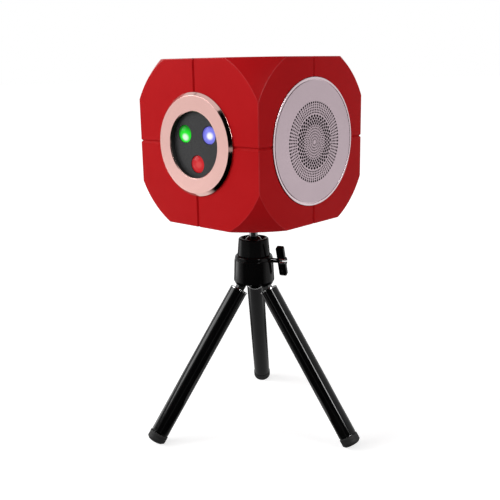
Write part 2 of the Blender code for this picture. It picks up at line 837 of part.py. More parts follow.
def build_driver_cone(side, holder, place):
    """Surround, cone, dust cap and coil former as one thin turned skin."""
    ledge = driver_levels()[1]
    seat = ledge + CONE_TRAVEL + GAP
    edge_top = seat + CONE_SKIN
    roll_middle = CONE_RADIUS + SURROUND_WIDTH / 2
    cone_foot = seat - CONE_DEPTH
    cap_crown = 0.002
    cone = lathe([
        (0.0, cone_foot + cap_crown),
        (0.0, cone_foot + cap_crown + CONE_SKIN),
        (COIL_RADIUS, cone_foot + 2 * CONE_SKIN),
        (CONE_RADIUS, edge_top),
        (roll_middle, edge_top + SURROUND_RISE),
        (CONE_RADIUS + SURROUND_WIDTH, edge_top),
        (CONE_RADIUS + SURROUND_WIDTH, seat),
        (roll_middle, seat + SURROUND_RISE),
        (CONE_RADIUS, seat),
        (COIL_RADIUS, cone_foot),
        (COIL_RADIUS, cone_foot - FORMER_LENGTH),
        (COIL_RADIUS - CONE_SKIN, cone_foot - FORMER_LENGTH),
        (COIL_RADIUS - CONE_SKIN, cone_foot),
    ], MEDIUM)
    cone_holder = empty(f"cone_{side}_axis", place, holder)
    piece(f"driver_cone_{side}", cone, "paper_cone", cone_holder, place)


def build_sides(holder):
    for side, direction in (("right", RIGHT), ("left", LEFT)):
        build_grille(side, direction, holder)
        place = face_place(direction)
        build_driver_frame(side, holder, place)
        build_driver_cone(side, holder, place)


# Control panel

def button_place(name):
    column, row = BUTTON_PLACES[name]
    return at(column * BUTTON_PITCH, row * BUTTON_PITCH)


def build_panel(holder, place):
    back = PANEL_PROUD - PANEL_THICKNESS
    panel = lathe([
        (0.0, back),
        (PANEL_OPENING - GAP, back),
        (PANEL_OPENING - GAP, GAP - PANEL_RECESS),
        (PANEL_RADIUS, GAP - PANEL_RECESS),
        (PANEL_RADIUS, PANEL_PROUD),
        (0.0, PANEL_PROUD),
    ], FINE)
    for x in (-POST_OFFSET[0], POST_OFFSET[0]):
        for y in (-POST_OFFSET[1], POST_OFFSET[1]):
            post = cylinder(POST_RADIUS, GAP - BOARD_DEPTH, back + PANEL_THICKNESS / 2, SMALL)
            panel = joined(panel, moved(post, at(x, y)))
    for name in BUTTON_PLACES:
        hole = cylinder(BUTTON_RADIUS + GAP, back - WALL, WALL, COARSE)
        panel = cut(panel, moved(hole, button_place(name)))
    half_width = PORT_WIDTH / 2 + GAP
    half_height = PORT_HEIGHT / 2 + GAP
    slot = block((-half_width, -PORT_DROP - half_height, -2 * WALL),
                 (half_width, -PORT_DROP + half_height, WALL))
    panel = cut(panel, slot)
    piece("rear_panel", panel, "black_matte", holder, place)


def build_buttons(holder, place):
    """Round caps kept in by a flange; each stem ends just short of its switch."""
    flange_front = PANEL_PROUD - PANEL_THICKNESS - GAP
    flange_back = flange_front - BUTTON_FLANGE_THICKNESS
    stem_end = SWITCH_HEIGHT - BOARD_DEPTH + BUTTON_TRAVEL + GAP
    outline = [
        (0.0, stem_end),
        (BUTTON_STEM_RADIUS, stem_end),
        (BUTTON_STEM_RADIUS, flange_back),
        (BUTTON_RADIUS + BUTTON_FLANGE, flange_back),
        (BUTTON_RADIUS + BUTTON_FLANGE, flange_front),
        (BUTTON_RADIUS, flange_front),
        (BUTTON_RADIUS, PANEL_PROUD + BUTTON_PROUD / 2),
        (BUTTON_RADIUS - BUTTON_PROUD / 2, PANEL_PROUD + BUTTON_PROUD),
        (0.0, PANEL_PROUD + BUTTON_PROUD),
    ]
    for name in BUTTON_PLACES:
        button_axis = place @ button_place(name)
        button_holder = empty(f"{name}_axis", button_axis, holder)
        piece(name, lathe(outline, COARSE), "black_gloss", button_holder, button_axis)


def build_board(holder, place):
    """Circuit board with one push switch behind each button."""
    half_width = BOARD_WIDTH / 2
    half_height = BOARD_HEIGHT / 2
    board = block((-half_width, -half_height, -BOARD_DEPTH - BOARD_THICKNESS),
                  (half_width, half_height, -BOARD_DEPTH))
    half = SWITCH_SIZE / 2
    for name in BUTTON_PLACES:
        switch = block((-half, -half, -BOARD_DEPTH - BOARD_THICKNESS / 2),
                       (half, half, SWITCH_HEIGHT - BOARD_DEPTH))
        board = joined(board, moved(switch, button_place(name)))
    piece("main_board", board, "board_green", holder, place)


def build_port(holder, place):
    half_width = PORT_WIDTH / 2
    half_height = PORT_HEIGHT / 2
    front = PANEL_PROUD - GAP
    port = block((-half_width, -half_height, GAP - BOARD_DEPTH), (half_width, half_height, front))
    cavity = block((PORT_WALL - half_width, PORT_WALL - half_height, front - PORT_CAVITY),
                   (half_width - PORT_WALL, half_height - PORT_WALL, front + WALL))
    piece("charging_port", cut(port, cavity), "steel", holder, place @ at(0.0, -PORT_DROP))


def build_back(holder):
    place = face_place(BACK)
    build_panel(holder, place)
    build_buttons(holder, place)
    build_board(holder, place)
    build_port(holder, place)


def build_inside(holder):
    """Brass tripod socket in the floor, with the battery standing on its boss."""
    place = Matrix.Translation(CUBE_CENTRE)
    bore = THREAD_RADIUS + GAP
    socket = lathe([
        (bore, -HALF),
        (INSERT_RADIUS, -HALF),
        (INSERT_RADIUS, INSERT_LENGTH - HALF),
        (bore, INSERT_LENGTH - HALF),
    ], COARSE)
    piece("tripod_insert", socket, "brass", holder, place)
    foot = INSERT_LENGTH - HALF + WALL / 2 + GAP
    battery = block((-BATTERY_WIDTH / 2, -BATTERY_DEPTH / 2, foot),
                    (BATTERY_WIDTH / 2, BATTERY_DEPTH / 2, foot + BATTERY_HEIGHT))
    piece("battery", battery, "battery_blue", holder, place)


# Ball head

def arc(radius, centre_height, start, end, steps):
    """Points on a sphere's outline; angles in degrees count from straight down."""
    points = []
    for step in range(steps + 1):
        angle = math.radians(start + (end - start) * step / steps)
        points.append((radius * math.sin(angle), centre_height - radius * math.cos(angle)))
    return points


def build_stud(holder):
    neck_angle = 180.0 - math.degrees(math.asin(NECK_RADIUS / BALL_RADIUS))
    plate_top = BALL_TO_CUBE - GAP - PAD_THICKNESS - GAP
    plate_foot = plate_top - PLATE_THICKNESS
    ball = arc(BALL_RADIUS, 0.0, 0.0, neck_angle, 6)
    ball[0] = (0.0, -BALL_RADIUS)
    outline = ball + [
        (NECK_RADIUS, plate_foot),
        (PLATE_RADIUS, plate_foot),
        (PLATE_RADIUS, plate_top),
        (THREAD_RADIUS, plate_top),
        (THREAD_RADIUS, BALL_TO_CUBE + THREAD_REACH),
        (0.0, BALL_TO_CUBE + THREAD_REACH),
    ]
    place = Matrix.Translation(BALL_CENTRE)
    piece("ball_stud", lathe(outline, MEDIUM), "steel", holder, place)
    pad = lathe([
        (THREAD_RADIUS + GAP, plate_top + GAP),
        (PLATE_RADIUS, plate_top + GAP),
        (PLATE_RADIUS, BALL_TO_CUBE - GAP),
        (THREAD_RADIUS + GAP, BALL_TO_CUBE - GAP),
    ], MEDIUM)
    piece("stud_pad", pad, "black_rubber", holder, place)


def build_seat(holder):
    """Cup under the ball; the wing screw's point lifts it against the ball."""
    bowl = BALL_RADIUS + GAP
    outer = math.degrees(math.asin((SEAT_RADIUS - GAP) / bowl))
    hole = math.degrees(math.asin(SEAT_HOLE / bowl))
    foot = SCREW_HEIGHT + SCREW_RADIUS + GAP - BALL_HEIGHT
    outline = arc(bowl, 0.0, hole, outer, 5)
    outline += [(SEAT_RADIUS, outline[-1][1]), (SEAT_RADIUS, foot), (SEAT_HOLE, foot)]
    piece("ball_seat", lathe(outline, MEDIUM), "black_matte", holder, Matrix.Translation(BALL_CENTRE))


def screw_place():
    angle = math.radians(SCREW_AZIMUTH)
    direction = Vector((math.cos(angle), math.sin(angle), 0.0))
    return facing(direction, Vector((0.0, 0.0, HINGE_HEIGHT + SCREW_HEIGHT)))


def screw_hole():
    """Clearance hole for the wing screw, in the axes of the hinge plane."""
    hole = cylinder(SCREW_RADIUS + GAP, 0.0, 2 * CROWN_RADIUS, COARSE)
    return moved(hole, Matrix.Translation((0.0, 0.0, -HINGE_HEIGHT)) @ screw_place())


def build_housing(holder):
    bowl = BALL_RADIUS + GAP
    lip_angle = 180.0 - math.degrees(math.asin(LIP_RADIUS / bowl))
    seam_height = CROWN_TOP
    outline = [
        (bowl, SPIGOT_FOOT),
        (HOUSING_FOOT_RADIUS, SPIGOT_FOOT),
        (HOUSING_FOOT_RADIUS, seam_height),
        (HOUSING_TOP_RADIUS, HOUSING_TOP - HOUSING_EDGE_ROUND),
        (HOUSING_TOP_RADIUS - HOUSING_EDGE_ROUND / 3, HOUSING_TOP - HOUSING_EDGE_ROUND / 3),
        (HOUSING_TOP_RADIUS - HOUSING_EDGE_ROUND, HOUSING_TOP),
        (DISH_RADIUS, HOUSING_TOP),
    ]
    outline += arc(bowl, BALL_HEIGHT, lip_angle, 90.0, 3)
    place = at(0.0, 0.0, HINGE_HEIGHT)
    housing = cut(lathe(outline, HEAD), screw_hole())
    piece("head_housing", housing, "black_gloss", holder, place)


def leg_frame(azimuth):
    """Axes of one leg: Z down the leg, X along its hinge pin, origin on the pin."""
    angle = math.radians(azimuth)
    outward = Vector((math.cos(angle), math.sin(angle), 0.0))
    pin = Vector((-math.sin(angle), math.cos(angle), 0.0))
    up = Vector((0.0, 0.0, 1.0))
    down_leg = outward * math.sin(SPREAD) - up * math.cos(SPREAD)
    across = down_leg.cross(pin)
    turn = Matrix((pin, across, down_leg)).transposed().to_4x4()
    origin = outward * HINGE_RADIUS + up * HINGE_HEIGHT
    return Matrix.Translation(origin) @ turn


def tongue_slot():
    """Room for one tongue, drawn in the leg's own upright plane and cut across it."""
    reach = TONGUE_HALF_WIDTH + GAP
    side = reach * math.cos(SPREAD)
    rise = reach * math.sin(SPREAD)
    run = 3 * TONGUE_HALF_WIDTH
    outline = [
        (HINGE_RADIUS - reach, reach),
        (HINGE_RADIUS + reach, reach),
        (HINGE_RADIUS + reach, rise - (reach - side) / math.tan(SPREAD)),
        (HINGE_RADIUS + side + run * math.sin(SPREAD), rise - run * math.cos(SPREAD)),
        (HINGE_RADIUS - reach, rise - run * math.cos(SPREAD)),
    ]
    half = TONGUE_THICKNESS / 2 + GAP
    slot = prism(outline, -half, half)
    return moved(slot, Matrix.Rotation(math.pi / 2, 4, "X"))


def scallop():
    """A low arch under the crown's edge, along +X; one lies midway between each two legs."""
    radius = (SCALLOP_HALF_WIDTH ** 2 + SCALLOP_RISE ** 2) / (2 * SCALLOP_RISE)
    arch = cylinder(radius, SCALLOP_START, 2 * CROWN_RADIUS, FINE)
    centre = Matrix.Translation((0.0, 0.0, SCALLOP_RISE - CROWN_BOTTOM - radius))
    return moved(arch, centre @ Matrix.Rotation(math.pi / 2, 4, "Y"))


def build_crown(holder):
    bore = HOUSING_FOOT_RADIUS + GAP
    shoulder_foot = CROWN_TOP - CROWN_SHOULDER
    foot = -CROWN_BOTTOM
    outline = [
        (0.0, foot),
        (CROWN_FOOT_RADIUS, foot),
        (CROWN_RADIUS, foot + CROWN_CHAMFER),
        (CROWN_TOP_RADIUS, shoulder_foot),
    ]
    width = CROWN_TOP_RADIUS - bore - GAP
    for degrees in (30.0, 60.0, 90.0):
        angle = math.radians(degrees)
        outline.append((
            CROWN_TOP_RADIUS - width * (1 - math.cos(angle)),
            shoulder_foot + CROWN_SHOULDER * math.sin(angle),
        ))
    outline += [(bore, CROWN_TOP), (bore, SPIGOT_FOOT - GAP), (0.0, SPIGOT_FOOT - GAP)]
    crown = cut(lathe(outline, HEAD), screw_hole())
    pin_hole = Matrix.Rotation(math.pi / 2, 4, "X")
    for azimuth in LEG_AZIMUTHS:
        turn = Matrix.Rotation(math.radians(azimuth), 4, "Z")
        half = PIN_LENGTH / 2 + GAP
        hole = moved(cylinder(PIN_RADIUS + GAP, -half, half, SMALL), pin_hole)
        crown = cut(
            crown,
            moved(tongue_slot(), turn),
            moved(hole, turn @ at(HINGE_RADIUS, 0.0)),
            moved(scallop(), turn @ Matrix.Rotation(math.pi / 3, 4, "Z")),
        )
    piece("crown", crown, "black_gloss", holder, at(0.0, 0.0, HINGE_HEIGHT))


def build_wing_screw(root):
    place = screw_place()
    tip = SCREW_RADIUS / 2
    body = lathe([
        (0.0, SCREW_TIP),
        (tip, SCREW_TIP),
        (SCREW_RADIUS, SCREW_TIP + SCREW_RADIUS),
        (SCREW_RADIUS, HUB_START),
        (WING_HUB_RADIUS, HUB_START),
        (WING_HUB_RADIUS, HUB_END - SCREW_RADIUS / 3),
        (WING_HUB_RADIUS - SCREW_RADIUS / 3, HUB_END),
        (0.0, HUB_END),
    ], MEDIUM)
    half = WING_SPAN / 2
    root_half = WING_THICKNESS / 2
    wings = block((-root_half, -half, WING_START), (root_half, half, WING_START + WING_WIDTH))
    upright = [edge for edge in wings.edges
               if abs(edge.verts[0].co.y - edge.verts[1].co.y) < GAP]
    bmesh.ops.bevel(wings, geom=upright, offset=WING_THICKNESS / 4, segments=1, affect="EDGES")
    wings = moved(wings, Matrix.Rotation(math.radians(WING_TURN), 4, "Z"))
    holder = empty("wing_screw_axis", place, root)
    piece("wing_screw", joined(body, wings), "black_gloss", holder, place)


# Legs

def build_knuckle(number, holder, place):
    """Round-ended tongue on the hinge pin, with the plug that fills the tube's top."""
    half = TONGUE_THICKNESS / 2
    steps = 6
    root = TUBE_START + PLUG_LENGTH / 2
    outline = [(TONGUE_HALF_WIDTH, root), (-TONGUE_HALF_WIDTH, root)]
    for step in range(steps + 1):
        angle = math.pi * (1 + step / steps)
        outline.append((TONGUE_HALF_WIDTH * math.cos(angle), TONGUE_HALF_WIDTH * math.sin(angle)))
    tongue = prism(outline, -half, half)
    stand = Matrix(((0, 0, 1, 0), (1, 0, 0, 0), (0, 1, 0, 0), (0, 0, 0, 1)))
    plug_radius = TUBE_RADIUS - TUBE_WALL - GAP
    plug = cylinder(plug_radius, TUBE_START + GAP, TUBE_START + PLUG_LENGTH, COARSE)
    across = Matrix.Rotation(math.pi / 2, 4, "Y")
    hole = moved(cylinder(PIN_RADIUS + GAP, -2 * half, 2 * half, SMALL), across)
    knuckle = cut(joined(plug, moved(tongue, stand)), hole)
    piece(f"leg_knuckle_{number}", knuckle, "steel", holder, place)


def build_tube(number, holder, place):
    end = LEG_LENGTH - FOOT_HEIGHT - GAP
    round_off = TUBE_WALL / 3
    tube = lathe([
        (TUBE_RADIUS - TUBE_WALL, TUBE_START),
        (TUBE_RADIUS - round_off, TUBE_START),
        (TUBE_RADIUS, TUBE_START + round_off),
        (TUBE_RADIUS, end),
        (TUBE_RADIUS - TUBE_WALL, end),
    ], MEDIUM)
    piece(f"leg_tube_{number}", tube, "black_gloss", holder, place)


def build_inner_tube(number, holder, place):
    radius = TUBE_RADIUS - TUBE_WALL - GAP
    end = LEG_LENGTH - FOOT_HEIGHT + FOOT_SOCKET - GAP
    tube = lathe([
        (radius - INNER_TUBE_WALL, INNER_TUBE_START),
        (radius, INNER_TUBE_START),
        (radius, end),
        (radius - INNER_TUBE_WALL, end),
    ], COARSE)
    piece(f"leg_inner_tube_{number}", tube, "steel", holder, place)


def build_foot(number, holder, place):
    """Rubber cap on the inner tube, with the small flat that it stands on."""
    top = LEG_LENGTH - FOOT_HEIGHT
    socket = TUBE_RADIUS - TUBE_WALL
    outline = [(socket, top), (FOOT_RADIUS, top)]
    outline += [
        (FOOT_RADIUS - FOOT_ROUND * (1 - math.cos(math.radians(a))),
         LEG_LENGTH - FOOT_ROUND * (1 - math.sin(math.radians(a))))
        for a in (0.0, 45.0, 90.0)
    ]
    outline += [(0.0, LEG_LENGTH), (0.0, top + FOOT_SOCKET), (socket, top + FOOT_SOCKET)]
    floor = block((-1.0, -1.0, -1.0), (1.0, 1.0, 0.0))
    foot = cut(lathe(outline, MEDIUM), moved(floor, place.inverted()))
    piece(f"leg_foot_{number}", foot, "black_rubber", holder, place)


def build_legs(root):
    for number, azimuth in enumerate(LEG_AZIMUTHS, start=1):
        place = leg_frame(azimuth)
        pin_place = place @ Matrix.Rotation(math.pi / 2, 4, "Y")
        half = PIN_LENGTH / 2
        pin = cylinder(PIN_RADIUS, -half, half, SMALL)
        piece(f"hinge_pin_{number}", pin, "steel", root, pin_place)
        hinge = empty(f"leg_{number}_hinge", place, root)
        build_knuckle(number, hinge, place)
        build_tube(number, hinge, place)
        slide = empty(f"leg_{number}_slide", place, hinge)
        build_inner_tube(number, slide, place)
        build_foot(number, slide, place)


def centre_on_floor(assembly):
    """Move the assembly so that its bounding box stands on the origin."""
    bpy.context.view_layer.update()
    corners = [
        made.matrix_world @ vertex.co
        for made in bpy.data.objects if made.type == "MESH"
        for vertex in made.data.vertices
    ]
    low = [min(corner[i] for corner in corners) for i in range(3)]
    high = [max(corner[i] for corner in corners) for i in range(3)]
    assembly.location = (-(low[0] + high[0]) / 2, -(low[1] + high[1]) / 2, -low[2])
    bpy.context.view_layer.update()


def main():
    clear_scene()
    assembly = empty("assembly", Matrix())
    build_housing(assembly)
    build_crown(assembly)
    build_legs(assembly)
    build_wing_screw(assembly)
    pan = empty("ball_pan_axis", Matrix.Translation(BALL_CENTRE), assembly)
    build_seat(pan)
    tilt = empty("ball_tilt_axis", Matrix.Translation(BALL_CENTRE), pan)
    build_stud(tilt)
    cube = empty("speaker_axis", Matrix.Translation(BALL_CENTRE), tilt)
    build_shells(cube)
    build_laser_face(cube)
    build_sides(cube)
    build_back(cube)
    build_inside(cube)
    centre_on_floor(assembly)


main()
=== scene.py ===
"""Looks of the cube speaker with the laser light projector on its pocket tripod.

Each solid that shows is replaced by a finer piece in its own place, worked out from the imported
solids, and every surface gets its finish.  Lengths are in metres.
"""

import json
import math

import bmesh
import bpy
from mathutils import Matrix, Vector


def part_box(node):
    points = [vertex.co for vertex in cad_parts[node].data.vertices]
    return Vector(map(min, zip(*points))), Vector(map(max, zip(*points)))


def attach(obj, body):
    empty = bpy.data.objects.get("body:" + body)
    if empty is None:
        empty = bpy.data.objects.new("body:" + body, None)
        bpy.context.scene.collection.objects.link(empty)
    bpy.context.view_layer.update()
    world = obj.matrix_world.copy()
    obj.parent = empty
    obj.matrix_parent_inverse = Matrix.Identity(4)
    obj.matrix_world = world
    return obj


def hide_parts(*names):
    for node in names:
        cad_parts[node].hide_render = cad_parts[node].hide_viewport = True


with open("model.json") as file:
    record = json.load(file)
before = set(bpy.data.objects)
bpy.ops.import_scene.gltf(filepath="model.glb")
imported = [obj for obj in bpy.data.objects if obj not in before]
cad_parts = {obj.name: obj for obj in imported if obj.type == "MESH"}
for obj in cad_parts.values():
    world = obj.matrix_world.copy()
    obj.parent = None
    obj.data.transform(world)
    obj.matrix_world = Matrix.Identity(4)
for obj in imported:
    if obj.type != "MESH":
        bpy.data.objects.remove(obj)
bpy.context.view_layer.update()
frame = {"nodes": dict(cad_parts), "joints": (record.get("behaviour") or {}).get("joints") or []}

# Room between neighbouring pieces, and how finely round pieces are made
GAP = 0.0003
MERGE = 0.0000005
ROUND = 128
MEDIUM = 64
THIN = 48
FILLET_STEPS = 4
ARC_STEPS = 28
EDGE_STEPS = 3
MATERIAL_NUMBERS = 3
SEAM = 0.00002
SHARP_ANGLE = math.radians(40.0)

# Cube body; the groove's profile is (distance from its middle plane, height above the face)
EDGE_ROUND = 0.0006
CORNER_SPHERE = 0.0765
WALL = 0.003
GROOVE_PROFILE = (
    (0.00145, 0.0005),
    (0.00112, 0.00002),
    (0.00100, -0.00005),
    (0.00088, -0.00016),
    (0.00016, -0.00084),
    (0.0, -0.0009),
)
FRONT_BORE = 0.029
GRILLE_RECESS = 0.0012
DRIVER_OPENING = 0.0313
PANEL_RECESS = 0.0012
PANEL_OPENING = 0.0243
TOWER_RADIUS = 0.0036
TOWER_HALF_SPACING = 0.036
BOSS_RADIUS = 0.008
INSERT_RADIUS = 0.0045
INSERT_LENGTH = 0.010
INSERT_BORE = 0.0033
INSERT_THREAD_DEPTH = 0.0003
SOCKET_CHAMFER = 0.0004

# Case screws; the cross recess is given in shares of the head's radius
SCREW_SHANK = 0.0012
SCREW_HEAD = 0.0028
SCREW_HEAD_DEPTH = 0.0015
SCREW_BITE = 0.010
CROSS_LENGTH = 0.62
CROSS_WIDTH = 0.16

# Laser face
RING_BORE = 0.0201
RING_FRONT = 0.0295
RING_STEP = 0.0007
RING_CHAMFER = 0.0005
SPIGOT_BORE = 0.0243
WINDOW_SUNK = 0.001
WINDOW_THICKNESS = 0.002
LENS_CROWN = 0.0016
LENS_FLANGE = 0.0011
LENS_FLANGE_DEPTH = 0.0014
DOME_STEPS = 16

# A lit lens, glowing with its own light: share of its rim colour in its body, how far its glow reaches from
# the hot spot, and where on that way the colours of the spot, of its surroundings and of the rim stand; the
# hot spot off the middle is a painted highlight
LENS_DEPTH = 0.15
GLOW_REACH = 0.0075
GLOW_STOPS = (0.0, 0.14, 0.40, 0.90)

# Perforated grilles: radii of the rows of holes, and how many holes a row has
RIM_GROOVE = 0.0375
RIM_GROOVE_WIDTH = 0.00035
RIM_GROOVE_DEPTH = 0.0005
PLATE_THICKNESS = 0.00018
CLOTH_SUNK = 0.0003
OUTER_ROWS = (0.0180, 0.0195, 0.0210, 0.0225, 0.0240)
INNER_ROWS = (0.0160, 0.0144, 0.0128, 0.0113, 0.0098, 0.0083, 0.0067, 0.0051, 0.0035, 0.0019)
OUTER_COUNT = 72
INNER_COUNT = 36

# Half sizes of the holes; those of the inner rows and of the core are ovals as wide as a share of the pitch
HOLE_CORNERS = 10
OUTER_HOLE = 0.00056
LAST_ROW_HOLE = 0.00072
INNER_HOLE = 0.00084
INNER_HOLE_SHARE = 0.38
WIDEST_HOLE = 0.00108
CORE_RADIUS = 0.010
CORE_HOLE = 0.00062
CORE_HOLE_SHARE = 0.32

# Control panel
PANEL_RADIUS = 0.026
PANEL_PROUD = 0.0005
PANEL_THICKNESS = 0.002
RIM_LINE = 0.0018
RIM_LINE_HALF_WIDTH = 0.0002
RIM_LINE_DEPTH = 0.00025
PANEL_POST = 0.0018
PANEL_POST_X = 0.0115
PANEL_POST_Y = 0.0145
BUTTON_RADIUS = 0.0035
BUTTON_PROUD = 0.0008
BUTTON_STEM = 0.0012
BUTTON_FLANGE = 0.001
BUTTON_DISH = 0.00018
ICON_SUNK = 0.0001
PORT_WALL = 0.0005
PORT_CAVITY = 0.006

# The inlet's contact tongue, in shares of the inlet's size, and how far back it ends
CONTACT_WIDTH = 0.62
CONTACT_THICKNESS = 0.22
CONTACT_SUNK = 0.0012

# Tripod
STUD_PITCH = 0.00127
STUD_NECK = 0.0029
STUD_THREAD = 0.003
STUD_THREAD_DEPTH = 0.0004
STUD_PLATE = 0.0022
BALL_STEPS = 24
HOUSING_TOP = 0.0101
HOUSING_MOUTH = 0.0086
BOWL_RADIUS = 0.0073
BOWL_MOUTH = 0.0067
BOWL_STEPS = 8
CROWN_BORE = 0.0113
CROWN_FLOOR = 0.0074
ARCH_RISE = 0.0022
ARCH_HALF = 0.0075
ARCH_START = 0.004
ARCH_END = 0.03
ARCH_SEGMENTS = 160
PIN_REACH = 0.0048
HINGE_BORE = 0.0014
TONGUE_HALF_WIDTH = 0.0025
TONGUE_HALF_THICKNESS = 0.002
TONGUE_ROOT = 0.006
TONGUE_STEPS = 20
KNUCKLE_BEVEL = 0.0003
TUBE_WALL = 0.001
ROLLED_END = 0.00012
BRIGHT_RIM = 0.0008
SLEEVE_WALL = 0.0008
FOOT_LENGTH = 0.0061
FOOT_SOCKET = 0.0042
FOOT_INSET = 0.00015

# Wing screw: its shaft, its slotted hub with four bright beads, and its wings, turned about the shaft
SHAFT_RADIUS = 0.0017
SHAFT_THREAD_DEPTH = 0.0002
SHAFT_PITCH = 0.0007
CLEARANCE_RADIUS = 0.0020
HUB_START = 0.0190
HUB_RADIUS = 0.0028
HUB_WAIST = 0.0003
HUB_SLOT = 0.00038
HUB_SLOT_DEPTH = 0.0038
HUB_TURN = -10.0
BEAD_RADIUS = 0.00052
BEAD_INSET = 0.0005
BEAD_OFFSET = 0.00104
BEAD_START = 0.0044
BEAD_END = 0.0002
BEAD_SEGMENTS = 16
WING_START = 0.0173
WING_WIDTH = 0.0053
WING_THICKNESS = 0.0026
WING_POCKET = 0.00035
WING_TURN = 22.0
KNOB_BEVEL = 0.00012

AXIS_X = Vector((1.0, 0.0, 0.0))
AXIS_Y = Vector((0.0, 1.0, 0.0))
AXIS_Z = Vector((0.0, 0.0, 1.0))
FRONT = -AXIS_Y
BACK = AXIS_Y
RIGHT = AXIS_X
LEFT = -AXIS_X

# Stands a flat outline upright: its x and y become Y and Z, and its thickness runs along X
UPRIGHT = Matrix(((0, 0, 1, 0), (1, 0, 0, 0), (0, 1, 0, 0), (0, 0, 0, 1)))

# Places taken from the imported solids
joints = {joint["name"]: joint for joint in frame["joints"]}
body_low = Vector(map(min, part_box("upper_shell")[0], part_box("lower_shell")[0]))
body_high = Vector(map(max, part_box("upper_shell")[1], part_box("lower_shell")[1]))
CUBE_CENTRE = (body_low + body_high) / 2
HALF = (body_high.x - body_low.x) / 2
BALL_CENTRE = Vector(joints["ball_pan"]["pos_m"])
BUTTONS = [joint["child"] for joint in frame["joints"] if joint["child"].startswith("button_")]


def rotation(degrees, axis):
    return Matrix.Rotation(math.radians(degrees), 4, axis)


def at(x, y, z=0.0):
    return Matrix.Translation((x, y, z))


def facing(direction, origin):
    """Axes with Z along a direction, Y upwards and the given origin."""
    side = AXIS_Z.cross(direction).normalized()
    upright = direction.cross(side)
    turn = Matrix((side, upright, direction)).transposed().to_4x4()
    return Matrix.Translation(origin) @ turn


def face_place(direction):
    return facing(direction, CUBE_CENTRE + direction * HALF)


def four_ways(x, y):
    """The four points (x, y) with either sign."""
    return [(i * x, j * y) for i in (-1, 1) for j in (-1, 1)]


def extent(node, place):
    """How far a solid runs along a place's Z axis, and its widest radius about it."""
    axis = place.to_3x3() @ AXIS_Z
    offsets = [vertex.co - place.translation for vertex in frame["nodes"][node].data.vertices]
    along = [offset.dot(axis) for offset in offsets]
    wide = max((offset - axis * run).length for offset, run in zip(offsets, along))
    return min(along), max(along), wide


def middle(node):
    low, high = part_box(node)
    return (low + high) / 2


def shift_to(node, place):
    """Shift along a face, from a place's origin to where a solid stands."""
    centre = place.inverted() @ middle(node)
    return at(centre.x, centre.y)


def own_radius(node, direction):
    """Widest radius of a solid about the line through its own middle."""
    return extent(node, facing(direction, middle(node)))[2]


# Finishes

def set_inputs(node, values):
    """Link the inputs that are given a socket, and set the others to their value."""
    for key, value in values.items():
        if isinstance(value, bpy.types.NodeSocket):
            node.id_data.links.new(value, node.inputs[key])
        else:
            node.inputs[key].default_value = value


def add_node(tree, kind, values):
    made = tree.nodes.new(kind)
    set_inputs(made, values)
    return made


def calculated(tree, kind, operation, first, second=None):
    """Result of one step of arithmetic on numbers or vectors; the second value may be left out."""
    made = tree.nodes.new(kind)
    made.operation = operation
    set_inputs(made, {0: first} if second is None else {0: first, 1: second})
    return made.outputs["Value"]


def object_coordinates(tree):
    return tree.nodes.new("ShaderNodeTexCoord").outputs["Object"]


def noise(tree, coordinates, scale, detail, roughness=0.5):
    values = {"Vector": coordinates, "Scale": scale, "Detail": detail, "Roughness": roughness}
    return add_node(tree, "ShaderNodeTexNoise", values).outputs["Fac"]


def spread(tree, source, low, high, source_low=0.3, source_high=0.7):
    values = {"From Min": source_low, "From Max": source_high, "To Min": low, "To Max": high}
    return add_node(tree, "ShaderNodeMapRange", {"Value": source, **values}).outputs["Result"]


def blended(tree, factor, first, second):
    made = tree.nodes.new("ShaderNodeMix")
    made.data_type = "RGBA"
    set_inputs(made, {"Factor": factor, "A": (*first, 1.0), "B": (*second, 1.0)})
    return made.outputs["Result"]


def new_material(name):
    material = bpy.data.materials.new(name)
    material.use_nodes = True
    return material, material.node_tree, material.node_tree.nodes["Principled BSDF"]


def surface(name, dark, light, roughness, grain, metallic=0.0, specular=0.5, tint=(1.0, 1.0, 1.0, 1.0),
            mottle=30.0):
    """Colour drifting between two tones, with uneven gloss and a fine bumpy grain.

    roughness is (low, high) and grain is (noise scale, bump height in metres).
    """
    material, tree, shader = new_material(name)
    coordinates = object_coordinates(tree)
    broad = noise(tree, coordinates, mottle, detail=3.0)
    fine = noise(tree, coordinates, grain[0], detail=2.0, roughness=0.6)
    bump = add_node(tree, "ShaderNodeBump", {"Strength": 1.0, "Distance": grain[1], "Height": fine})
    set_inputs(shader, {
        "Base Color": blended(tree, spread(tree, broad, 0.0, 1.0), dark, light),
        "Roughness": spread(tree, fine, *roughness),
        "Normal": bump.outputs["Normal"],
        "Metallic": metallic,
        "Specular IOR Level": specular,
        "Specular Tint": tint,
    })
    return material


def glowing_lens(name, rim, body, painted_highlight, highlight_spot):
    """A lit glass dome that glows with its own light, brightening towards a hot spot a little off the
    middle: a painted highlight.
    """
    deep = [LENS_DEPTH * value for value in rim]
    material = surface(name, deep, deep, (0.06, 0.12), (900.0, 0.000004), specular=0.05)
    tree = material.node_tree
    away = calculated(tree, "ShaderNodeVectorMath", "DISTANCE", object_coordinates(tree), highlight_spot)
    ramp = add_node(tree, "ShaderNodeValToRGB", {"Fac": spread(tree, away, 0.0, 1.0, 0.0, GLOW_REACH)})
    ramp.color_ramp.interpolation = "EASE"
    stops = zip(GLOW_STOPS, (painted_highlight, painted_highlight, body, rim))
    while len(ramp.color_ramp.elements) < len(GLOW_STOPS):
        ramp.color_ramp.elements.new(0.5)
    for element, (position, colour) in zip(ramp.color_ramp.elements, stops):
        element.position = position
        element.color = (*colour, 1.0)
    shader = tree.nodes["Principled BSDF"]
    set_inputs(shader, {"Emission Color": ramp.outputs["Color"], "Emission Strength": 1.0})
    return material


